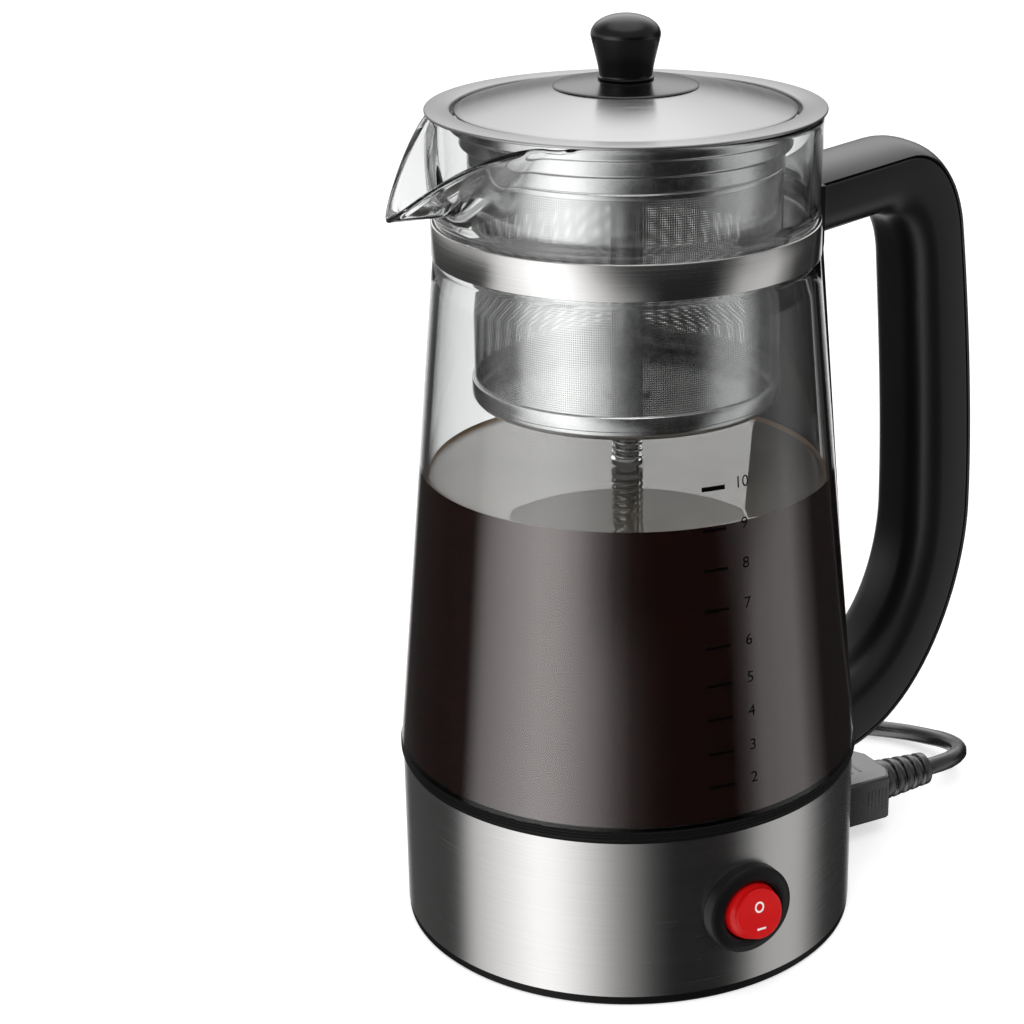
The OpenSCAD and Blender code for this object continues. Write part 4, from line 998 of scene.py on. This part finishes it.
class PERCOLATOR_OT_jug(bpy.types.Operator):
    """Make the glass with its spout, the coffee and the scale"""

    bl_idname = "percolator.jug"
    bl_label = "Jug"

    def execute(self, context):
        s = context.scene.percolator.jug
        outside = [(GLASS_FOOT_R, SEAM_Z), (SHOULDER_R, SHOULDER_Z), (NECK_R, NECK_Z), (NECK_R, NECK_TOP_Z),
                   (NECK_R + BEAD_OVER, BEAD_Z), (NECK_R + 0.1, SPOUT_FOOT_Z)]
        inside = [(GLASS_IN_FOOT_R, SEAM_Z), (GLASS_IN_TOP_R, GLASS_IN_TOP_Z), (NECK_IN_R, NECK_Z),
                  (NECK_IN_R, SPOUT_FOOT_Z)]
        angles = self.bearings()
        outer = [self.column(a, outside, NECK_R, RIM_R, SPOUT_TIP, 0.0) for a in angles]
        inner = [self.column(a, inside, NECK_IN_R + 0.1, RIM_IN_R, SPOUT_IN_TIP, SPOUT_LIP) for a in angles]
        rings = []
        for out, back in zip(outer, inner):
            rings.append([*out, *self.lip(out, back), *reversed(back)])
        add_piece("glass_wall", sweep(rings, True), "glass_clear", "jug", ["glass_jug"], 60.0)
        self.add_beads()
        self.add_coffee(mm(s.coffee_level))
        self.add_scale(context, s)
        return {"FINISHED"}

    def bearings(self):
        """Angles from the spout round the jug, closer together near the spout."""
        near = math.radians(52)
        fine, coarse = 120, 140
        found = [near * (2 * k / fine - 1) for k in range(fine)]
        found += [near + (2 * math.pi - 2 * near) * k / coarse for k in range(coarse)]
        return found

    def column(self, a, profile, neck, rim, tip, lift):
        """One line up the wall at an angle from the spout, and out along the beak where that is."""
        turn = (a + math.pi) % (2 * math.pi) - math.pi
        side = abs(turn) / SPOUT_HALF
        soft = (math.hypot(side, TIP_ROUND) - TIP_ROUND) / (math.hypot(1, TIP_ROUND) - TIP_ROUND)
        drop = soft_floor(1 - math.hypot(side, TIP_ROUND) ** FOLD_POWER, FOLD_BLUR)
        pull = min(1.0, soft_floor(1 - soft, PULL_BLUR))
        if side > PLAIN_RIM_SIDE:
            drop, pull = 0.0, 0.0

        def on_wall(r, z, angle):
            return (-r * math.cos(angle), r * math.sin(angle), z)

        top = RIM_Z - LIP_H
        lower = []
        for p, q in zip(profile, profile[1:]):
            steps = max(2, min(24, int(math.dist(p, q) / 4)))
            lower += [on_wall(*lerp(p, q, k / steps), turn) for k in range(steps)]
        foot = on_wall(*profile[-1], turn)
        fold_z = min(top, max(profile[-1][1] + 0.6, top - SPOUT_DROP * drop + lift))
        share = (fold_z - profile[-1][1]) / (top - profile[-1][1])
        fold = on_wall(lerp(neck, rim, share * (1 - drop)), fold_z, turn)
        corner = on_wall(rim, top, SPOUT_HALF)
        beak = (lerp(corner[0], tip[0], pull), math.copysign(corner[1] * side, turn), top)
        plain = on_wall(rim, top, turn)
        edge = lerp(beak, plain, smooth_step((side - 0.75) / 0.55))
        edge = (edge[0], edge[1], lerp(top, tip[2], pull) + 4 * SPOUT_BULGE * pull * (1 - pull))
        rows = 30
        upper = []
        length = math.dist(foot, fold)
        total = length + math.dist(fold, edge)
        bend = min(4.0, 0.8 * length, 0.8 * (total - length))
        for k in range(rows + 1):
            d = total * k / rows
            if total - length < 0.1:
                at = lerp(foot, edge, k / rows)
            elif d < length - bend:
                at = lerp(foot, fold, d / length)
            elif d > length + bend:
                at = lerp(fold, edge, (d - length) / (total - length))
            else:
                t = (d - length + bend) / (2 * bend)
                start = lerp(foot, fold, (length - bend) / length)
                end = lerp(fold, edge, bend / (total - length))
                at = lerp(lerp(start, fold, t), lerp(fold, end, t), t)
            upper.append(at)
        return lower + upper

    def lip(self, out, back):
        """Points of the rounded lip between the ends of the outer and the inner line."""
        first, last = Vector(out[-1]), Vector(back[-1])
        along = (first - Vector(out[-2])).normalized()
        centre = (first + last) / 2
        across = (first - last) / 2
        sideways = across.normalized()
        rise = (along - sideways * along.dot(sideways)).normalized() * min(LIP_H, across.length)
        found = []
        for k in range(1, 8):
            a = math.pi * k / 8
            found.append(tuple(centre + across * math.cos(a) + rise * math.sin(a)))
        return found

    def add_beads(self):
        """Three fine beads round the collar under the glass."""
        bead = 0.32
        rings = []
        for z in (56.5, 57.4, 58.3):
            outline = [(BASE_R + 0.4 + bead * math.cos(a), z + bead * math.sin(a))
                       for a in (2 * math.pi * k / 12 for k in range(12))]
            rings.append(lathe(outline, 192))
        add_piece("collar_beads", joined(*rings), "base_black", "jug", sharp=60.0)

    def add_coffee(self, level):
        """Coffee up to its level, with a meniscus at the glass, sunk into the wall by a hair.

        Below its skin it leaves room for the stem and its foot.
        """
        bottom, skin = 59.2, 1.0
        stem_room, foot_room, foot_room_top = 6.0, 14.0, 84.0

        def wall(z):
            up = (z - SEAM_Z) / (GLASS_IN_TOP_Z - SEAM_Z)
            return lerp(GLASS_IN_FOOT_R, GLASS_IN_TOP_R, up) + 0.15

        side = [(wall(z), z) for z in (bottom, 90.0, 120.0, level - 4)]
        edge = wall(level)
        curl = [(wall(level + 1.6), level + 1.6), (edge - 0.5, level + 0.9), (edge - 1.3, level + 0.4),
                (edge - 2.6, level + 0.1), (edge - 4.5, level)]
        top = [(r, level) for r in (50.0, 30.0, 12.0, 6.0, 0.0)]
        low = [(0.0, level - skin), (stem_room, level - skin), (stem_room, foot_room_top),
               (foot_room, foot_room_top), (foot_room, bottom)]
        piece = add_piece("coffee", lathe([*side, *curl, *top, *low]), "coffee_side", "jug", sharp=50.0)
        # Faces on top take the lighter finish with painted sheen; faces higher on the meniscus take the thin
        # coffee's colour
        piece.data.materials.append(finish_of("coffee_top"))
        piece.data.materials.append(finish_of("coffee_edge"))
        for face in piece.data.polygons:
            if face.normal.z > 0.3 and face.center.z > MM * (level - 1):
                face.material_index = 2 if face.center.z > MM * (level + 0.5) else 1

    def add_scale(self, context, s):
        """Marks and plain figures of the scale, printed on the glass."""
        def on_glass(x, z):
            r = lerp(GLASS_FOOT_R, SHOULDER_R, (z - SEAM_Z) / (SHOULDER_Z - SEAM_Z)) + 0.03
            a = x / PRINT_R
            return (r * math.cos(a), r * math.sin(a), z)

        heights = (70.5, 80.7, 91.2, 101.6, 113.1, 124.2, 136.3, 148.1, 160.3)
        full = 10
        mark_middle = PRINT_R * math.radians(-96.5)
        figure_left = PRINT_R * math.radians(-88.8)
        shapes = []
        for count, z in enumerate(heights, 2):
            thick = 1.35 if count == full else 0.85
            half = mm(s.mark_width) / 2
            rings = []
            for k in range(9):
                x = mark_middle - half + 2 * half * k / 8
                low, high = on_glass(x, z - thick / 2), on_glass(x, z + thick / 2)
                over = [(p[0] * 1.0005, p[1] * 1.0005, p[2]) for p in (low, high)]
                rings.append([low, over[0], over[1], high])
            shapes.append(sweep(rings))
            left = figure_left - (1.6 if count == full else 0.0)
            shapes.append(self.figure(context, str(count), mm(s.figure_height), left, z - 1.0, on_glass))
        marks = add_piece("scale_print", joined(*shapes), "mark_print", "jug", sharp=60.0)
        marks.visible_glossy = False
        marks.visible_transmission = False

    def figure(self, context, text, height, left, low, on_glass):
        """A number as a thin print on the glass."""
        letters = bpy.data.curves.new("figure", "FONT")
        letters.body = text
        letters.size = height / 0.7
        letters.resolution_u = 3
        holder = bpy.data.objects.new("figure", letters)
        context.scene.collection.objects.link(holder)
        context.view_layer.update()
        mesh = bpy.data.meshes.new_from_object(holder.evaluated_get(context.evaluated_depsgraph_get()))
        verts = [on_glass(left + v.co.x, low + v.co.y) for v in mesh.vertices]
        faces = [list(f.vertices) for f in mesh.polygons]
        bpy.data.objects.remove(holder)
        bpy.data.meshes.remove(mesh)
        return verts, faces


class PERCOLATOR_OT_handle(bpy.types.Operator):
    """Make the looped handle, its cover strip and the neck band"""

    bl_idname = "percolator.handle"
    bl_label = "Handle"

    def execute(self, context):
        s = context.scene.percolator.handle
        outer, inner = self.lines()
        cover = mm(s.cover)
        half = mm(s.width) / 2
        body, strip = [], []
        for inside, outside in zip(inner, outer):
            thick = math.dist(inside, outside)
            body.append(self.section(inside, outside, self.grip_flat(thick - cover - 0.2, half)))
            strip.append(self.section(inside, outside, self.strip_flat(thick - cover, thick, half)))
        pieces = (("handle_grip", body, "handle_body"), ("handle_strip", strip, "handle_cover"))
        for name, rings, node in pieces:
            add_piece(name, self.fitted(sweep(rings)), "handle_black", "jug", [node], 40.0)
        self.add_band()
        return {"FINISHED"}

    def lines(self):
        """The handle's outer and inner line in the XZ plane: a rising arm, then three curves each."""
        root_x, slope = 52.9, 0.14054
        top_z, top_end = 231.5, 92.5
        low_z, low_end = 212.1, 83.0

        def arm(x, z):
            return (x, z + slope * (x - root_x))

        outer = [arm(lerp(root_x, top_end, k / 14), top_z) for k in range(15)]
        outer += bezier([arm(top_end, top_z), arm(103.5, top_z), (111.5, 229.5), (114.5, 214.5)], 14)
        outer += bezier([(114.5, 214.5), (118, 190.5), (122.5, 149.9), (122.5, 116.9)], 14)
        outer += bezier([(122.5, 116.9), (122.5, 84.9), (104, 37.8), (68.5, 34.8)], 24)
        inner = [arm(lerp(root_x, low_end, k / 14), low_z) for k in range(15)]
        inner += bezier([arm(low_end, low_z), arm(90.0, low_z), (94.5, 211.5), (96, 199.5)], 14)
        inner += bezier([(96, 199.5), (97.5, 180.5), (100.5, 144.9), (100.5, 112.9)], 14)
        inner += bezier([(100.5, 112.9), (100.5, 92.9), (92.5, 63.9), (59.5, 59.9)], 24)
        return outer, inner

    def grip_flat(self, end, half):
        """Outline across the grip: round towards the jug, with short edges at the seam."""
        palm = min(12.0, 0.7 * end)
        return rounded([(0, -half, palm), (0, half, palm), (end, half, 1.3), (end, -half, 1.3)], 1.0, 9)

    def strip_flat(self, start, thick, half):
        """Outline across the cover strip: crowned on its outer side."""
        crown, edge = 1.0, 1.9
        flat = [(start, -half + 0.5), (start, half - 0.5)]
        for k in range(25):
            y = half * math.cos(math.pi * k / 24)
            flat.append((thick + crown - (crown + edge) * abs(y / half) ** 2.6, y))
        return flat

    def section(self, inside, outside, flat):
        """A flat outline set up across the way out between two points of the lines."""
        way = Vector((outside[0] - inside[0], outside[1] - inside[1])).normalized()
        return [(inside[0] + way.x * d, y, inside[1] + way.y * d) for d, y in flat]

    def fitted(self, shape):
        """The shape with what would stand in the jug or its back plate moved out to their outline."""
        verts, faces = shape
        found = []
        for x, y, z in verts:
            r = math.hypot(x, y)
            room = jug_outline(z) + (PLATE_T if PLATE_LOW < z < PLATE_TOP else 0.0) + 0.1
            grow = max(1.0, room / max(r, 1e-6))
            found.append((x * grow, y * grow, z))
        return found, faces

    def add_band(self):
        """The steel band round the neck, open under the arm, with its two lugs."""
        half_gap, lug_t, lug_low, lug_end = 2.2, 0.8, 217.6, 68.0
        edge = ring_outline(BAND_IN, BAND_OUT, BAND_LOW, BAND_HIGH, 0.3, 3)
        gap = math.asin(half_gap / BAND_OUT)
        rings = []
        for k in range(181):
            a = gap + (2 * math.pi - 2 * gap) * k / 180
            rings.append([(r * math.cos(a), r * math.sin(a), z) for r, z in edge])
        lugs = [block((BAND_IN, y, lug_low), (lug_end, y + lug_t, BAND_HIGH), 0.2)
                for y in (-half_gap - lug_t, half_gap)]
        add_piece("band", joined(sweep(rings), *lugs), "band_steel", "jug", ["neck_band"])


def jug_outline(z):
    """Outside radius of base, collar, glass and band at a height."""
    if z < SHELL_TOP:
        return BASE_R
    if z < SEAM_Z:
        return BASE_R + COLLAR_OVER
    if z < SHOULDER_Z:
        return lerp(BASE_R + COLLAR_OVER, SHOULDER_R, (z - SEAM_Z) / (SHOULDER_Z - SEAM_Z))
    return lerp(SHOULDER_R, BAND_OUT, min(1.0, (z - SHOULDER_Z) / 1.5))


class PERCOLATOR_OT_basket(bpy.types.Operator):
    """Make the basket with its perforated wall, and the stem's spring"""

    bl_idname = "percolator.basket"
    bl_label = "Basket"

    def execute(self, context):
        s = context.scene.percolator.basket
        tree = sheet_of_holes()
        columns = round(math.pi * MESH_R / mm(s.pitch))
        rows = round((MESH_HIGH - MESH_LOW) / mm(s.pitch))
        halves = (("basket_mesh_back", 0.0, ["basket_wall"]), ("basket_mesh_front", math.pi, []))
        for name, start, nodes in halves:
            mesh = grown(name, tree, {
                "Columns": columns, "Rows": rows, "Radius": MM * MESH_R, "Start": start, "Sweep": math.pi,
                "Low": MM * MESH_LOW, "High": MM * MESH_HIGH, "Hole share": s.share,
                "Finish": finish_of("basket_steel")})
            add_mesh(name, mesh, "basket_steel", "basket", nodes)
        margins = []
        for low, high in ((WALL_LOW, MESH_LOW), (MESH_HIGH, WALL_HIGH)):
            margins.append(lathe(ring_outline(
                MESH_R - WALL_HALF_SHEET, MESH_R + WALL_HALF_SHEET, low, high, 0.1, 2), 120))
        add_piece("basket_margins", joined(*margins), "basket_steel", "basket")
        self.add_rim()
        pan = lathe(self.pan_outline())
        add_piece("basket_pan", pan, "basket_steel", "basket", ["basket_floor"])
        hoop = ring_outline(46.05, SKIRT_R, 173.45, 177.7, 0.2, 3)
        add_piece("basket_hoop", lathe(hoop), "basket_steel", "basket", ["basket_band"])
        spring = add_mesh("spring", grown("spring", wound_wire(), {
            "Turns": float(s.turns), "Radius": MM * SPRING_R, "Low": MM * SPRING_LOW,
            "High": MM * SPRING_HIGH, "Wire": MM * SPRING_WIRE, "Finish": finish_of("stem_steel")}),
            "stem_steel", "basket", ["stem_spring"], 60.0)
        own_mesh(spring)
        return {"FINISHED"}

    def pan_outline(self):
        """Outline of the basket's bottom: a floor that turns up into the skirt."""
        def bend(radius):
            middle = (SKIRT_R - PAN_ROUND, BASKET_Z + PAN_ROUND)
            return [(middle[0] + radius * math.sin(a), middle[1] - radius * math.cos(a)) for a in quarter(12)]

        return [(SLEEVE_GAP_R, BASKET_Z), *bend(PAN_ROUND), *reversed(bend(PAN_ROUND - PAN_SHEET)),
                (SLEEVE_GAP_R, BASKET_Z + PAN_SHEET)]

    def add_rim(self):
        """Flange, lid ledge, spreader ledge and skirt, pressed from one sheet."""
        outline = rounded([
            (58.7, 257.0, 0.4), (58.7, 258.0, 0.5), (51.0, 258.0, 0.9), (51.0, 253.4, 0.6),
            (48.0, 253.3, 0.9), (48.0, 248.4, 0.6), (46.1, 248.3, 0.9), (46.1, 240.5, 0.15),
            (46.6, 240.5, 0.15), (46.6, 242.0, 0.2), (46.3, 242.3, 0.2), (46.6, 242.7, 0.2),
            (46.6, 247.0, 0.8), (48.7, 247.5, 0.6), (48.9, 248.1, 0.6), (48.9, 252.2, 0.9),
            (51.6, 252.5, 0.6), (51.9, 253.1, 0.6), (51.9, 257.0, 0.4)], 0.4, 4)
        shape = lathe(outline, 192)
        rim = add_piece(
            "basket_flange", shape, "flange_steel", "basket", ["basket_rim"], 40.0)
        rim.data.materials.append(finish_of("basket_steel"))
        for face in rim.data.polygons:
            if face.center.z < MM * RIM_Z:
                face.material_index = 1


def quarter(steps):
    """Angles of a quarter turn."""
    return [math.pi / 2 * k / steps for k in range(steps + 1)]


class PERCOLATOR_OT_lid(bpy.types.Operator):
    """Make the lid, the disc under the knob and the knob"""

    bl_idname = "percolator.lid"
    bl_label = "Lid"

    def execute(self, context):
        ball = (LID_R * LID_R + LID_RISE * LID_RISE) / (2 * LID_RISE)

        def dome(r):
            return LID_SEAT_Z + LID_RISE - ball + math.sqrt(ball * ball - r * r)

        reach = [LID_R * k / 40 for k in range(41)]
        top = [(r, dome(r)) for r in reach]
        under = [(r, dome(r) - LID_SHEET) for r in reversed(reach)]
        roll = [(LID_R + 0.2, dome(LID_R) - 0.2), (LID_R + 0.2, dome(LID_R) - 0.6)]
        sheet = lathe([*top, *roll, *under], 192)
        add_piece("lid_dome", sheet, "lid_steel", "lid", ["lid_disc"], 50.0)
        rings = (0.0, 4.0, 8.0, 12.0, 16.0, 18.5, 20.4)
        plate = [(r, dome(r) + 1.0 - 0.5 * (r / KNOB_PLATE_R) ** 2) for r in rings]
        plate += [(21.0, dome(21.0) + 0.45), (KNOB_PLATE_R, dome(KNOB_PLATE_R) + 0.25)]
        plate += [(r, dome(r) + 0.03) for r in (21.2, 16.0, 12.0, 8.0, 4.0, 0.0)]
        add_piece("knob_plate", lathe(plate), "knob_black", "lid", ["knob_escutcheon"])
        side = [(0.0, 265.95), (8.2, 265.95), (8.25, 266.2), (8.1, 266.45), (7.75, 266.6), (7.7, 266.9)]
        neck = [side[-1], (8.15, 269.5), (9.0, 273.2), (9.8, 276.4), (KNOB_R, KNOB_WIDEST_Z)]
        side += through(neck, 6)[1:]
        crown = [(KNOB_R * math.cos(a), KNOB_WIDEST_Z + KNOB_CROWN * math.sin(a) ** 0.92)
                 for a in quarter(20)[1:-1]]
        knob = lathe([*side, *crown, (0.0, KNOB_WIDEST_Z + KNOB_CROWN)], 96)
        add_piece("knob", knob, "knob_black", "lid", ["lid_knob"])
        return {"FINISHED"}


def rocker_dish(z):
    """How deep the rocker's face is dished at a height over its pin."""
    return 0.35 * (1 - min(1.0, abs(z) / ROCKER_R)) ** 1.5


class PERCOLATOR_OT_switch(bpy.types.Operator):
    """Make the switch's bezel and the rocker with its two signs"""

    bl_idname = "percolator.switch"
    bl_label = "Switch"

    def execute(self, context):
        out = Matrix.Translation((0, 0, SWITCH_Z)) @ Matrix.Rotation(math.radians(90), 4, "X")
        ring = rounded([(10.4, 68.0), (14.0, 68.0), (14.0, 74.3, 0.5), (13.0, 74.9, 0.8), (11.6, 75.4, 1.2),
                        (10.4, 75.5, 0.8), (9.4, 75.0, 0.5), (9.3, 68.0)], 0.0, 5)
        verts, faces = placed(lathe(ring, 128), out)
        face_ring = [(x, min(y, -math.sqrt((BASE_R + 0.1) ** 2 - x * x)), z) for x, y, z in verts]
        barrel = ring_outline(BARREL_IN, BARREL_OUT, 60.5, 73.0, 0.3, 2)
        shape = joined((face_ring, faces), placed(lathe(barrel, 96), out))
        add_piece("bezel", shape, "bezel_black", "jug", ["switch_bezel"], 40.0)
        tilt = Matrix.Translation((0, PIVOT_Y, SWITCH_Z)) @ Matrix.Rotation(ROCKER_TILT, 4, "X")
        self.add_rocker(tilt)
        self.add_signs(tilt)
        return {"FINISHED"}

    def add_rocker(self, tilt):
        """The rocker: a slice of a ball with a dished face."""
        depths = (-3.0, -2.0, -1.0, 0.0, 1.0, 2.0, 3.0, 3.8, 4.4)
        side = [(math.sqrt(ROCKER_BALL_R ** 2 - d * d), d) for d in depths]
        side += [(ROCKER_R, 5.0), (ROCKER_R, 5.9), (7.62, 6.2), (7.4, 6.36), (7.1, ROCKER_FACE)]
        face = [(7.1 * (1 - k / 8), ROCKER_FACE) for k in range(1, 9)]
        verts, faces = lathe([(0.0, -3.0), *side, *face], 96)
        found = []
        for x, y, d in verts:
            dish = rocker_dish(y) * max(0.0, min(1.0, (d - 5.9) / 0.5))
            found.append((x, -(d - dish), y))
        shape = placed((found, faces), tilt)
        add_piece("rocker_cap", shape, "rocker_red", "rocker", ["rocker"], 40.0)

    def add_signs(self, tilt):
        """A ring above and a bar below, printed on the rocker's face."""
        def on_face(x, z):
            return (x, rocker_dish(z) - ROCKER_FACE - 0.04, z)

        rings = []
        for k in range(40):
            a = 2 * math.pi * k / 40
            top = [on_face(r * math.cos(a), 2.1 + 1.1 * r * math.sin(a)) for r in (1.05, 1.6)]
            under = [(x, y + 0.1, z) for x, y, z in reversed(top)]
            rings.append([*top, *under])
        bar = block((-1.5, -0.05, -4.9), (1.5, 0.05, -4.3), 0.04)
        bar = ([(x, on_face(x, z)[1] + y, z) for x, y, z in bar[0]], bar[1])
        shape = placed(joined(sweep(rings, True), bar), tilt)
        add_piece("rocker_signs", shape, "sign_print", "rocker", sharp=60.0)


class PERCOLATOR_OT_frame_parts(bpy.types.Operator):
    """Give the pieces that keep the frame's own shape their finishes"""

    bl_idname = "percolator.frame_parts"
    bl_label = "Frame parts"

    def execute(self, context):
        finishes = {
            "shell_steel": ["base_shell"],
            "base_black": ["base_collar", "base_cover", "inlet_housing", "switch_body", "handle_spine"],
            "rubber_foot": ["foot_ring", "coil_tie"],
            "gasket_pale": ["glass_gasket"],
            "aluminium_cast": ["heat_spreader"],
            "element_steel": ["heating_element"],
            "basket_steel": ["heating_plate", "basket_sleeve", "spreader_plate"],
            "stem_steel": ["stem_tube", "stem_foot", "stem_bead", "stem_clip"],
            "screw_steel": ["band_block", "band_screw", "handle_screws", "base_screws", "knob_screw",
                            "rocker_pin", "thermostat_bracket"],
            "brass_tab": ["switch_terminals", "inlet_pins", "plug_blades"],
            "phenolic_block": ["thermostat", "thermal_fuse"],
            "wire_sleeve": ["wiring"],
        }
        for finish, nodes in finishes.items():
            for node in nodes:
                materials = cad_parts[node].data.materials
                materials.clear()
                materials.append(finish_of(finish))
        left = [name for name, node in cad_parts.items()
                if not node.hide_render and node.data.materials[0].name not in finishes]
        if left:
            raise RuntimeError(f"these nodes have no finish: {left}")
        return {"FINISHED"}


class PERCOLATOR_PT_panel(bpy.types.Panel):
    """The percolator's pieces and settings"""

    bl_idname = "PERCOLATOR_PT_panel"
    bl_label = "Percolator"
    bl_space_type = "VIEW_3D"
    bl_region_type = "UI"
    bl_category = "Percolator"

    def draw(self, context):
        settings = context.scene.percolator
        for operator in OPERATORS:
            self.layout.operator(operator.bl_idname)
        for group in settings.bl_rna.properties.keys():
            if group in ("rna_type", "name"):
                continue
            box = self.layout.box()
            box.label(text=settings.bl_rna.properties[group].name)
            part = getattr(settings, group)
            for key in part.bl_rna.properties.keys():
                if key not in ("rna_type", "name"):
                    box.prop(part, key)


OPERATORS = (
    PERCOLATOR_OT_stage, PERCOLATOR_OT_cord, PERCOLATOR_OT_jug, PERCOLATOR_OT_handle, PERCOLATOR_OT_basket,
    PERCOLATOR_OT_lid, PERCOLATOR_OT_switch, PERCOLATOR_OT_frame_parts)
CLASSES = (
    StageSettings, JugSettings, HandleSettings, BaseSettings, BasketSettings, LidSettings, SwitchSettings,
    CordSettings, PercolatorSettings, *OPERATORS, PERCOLATOR_PT_panel)


def register():
    """Register the classes and the scene's settings."""
    for item in CLASSES:
        bpy.utils.register_class(item)
    bpy.types.Scene.percolator = PointerProperty(
        type=PercolatorSettings, name="Percolator", description="Settings of the percolator")


def unregister():
    """Take the settings and the classes out again."""
    del bpy.types.Scene.percolator
    for item in reversed(CLASSES):
        bpy.utils.unregister_class(item)


def main():
    """Build the pieces in order."""
    register()
    bpy.ops.percolator.stage()
    bpy.ops.percolator.cord()
    bpy.ops.percolator.jug()
    bpy.ops.percolator.handle()
    bpy.ops.percolator.basket()
    bpy.ops.percolator.lid()
    bpy.ops.percolator.switch()
    bpy.ops.percolator.frame_parts()


if __name__ == "__main__":
    main()
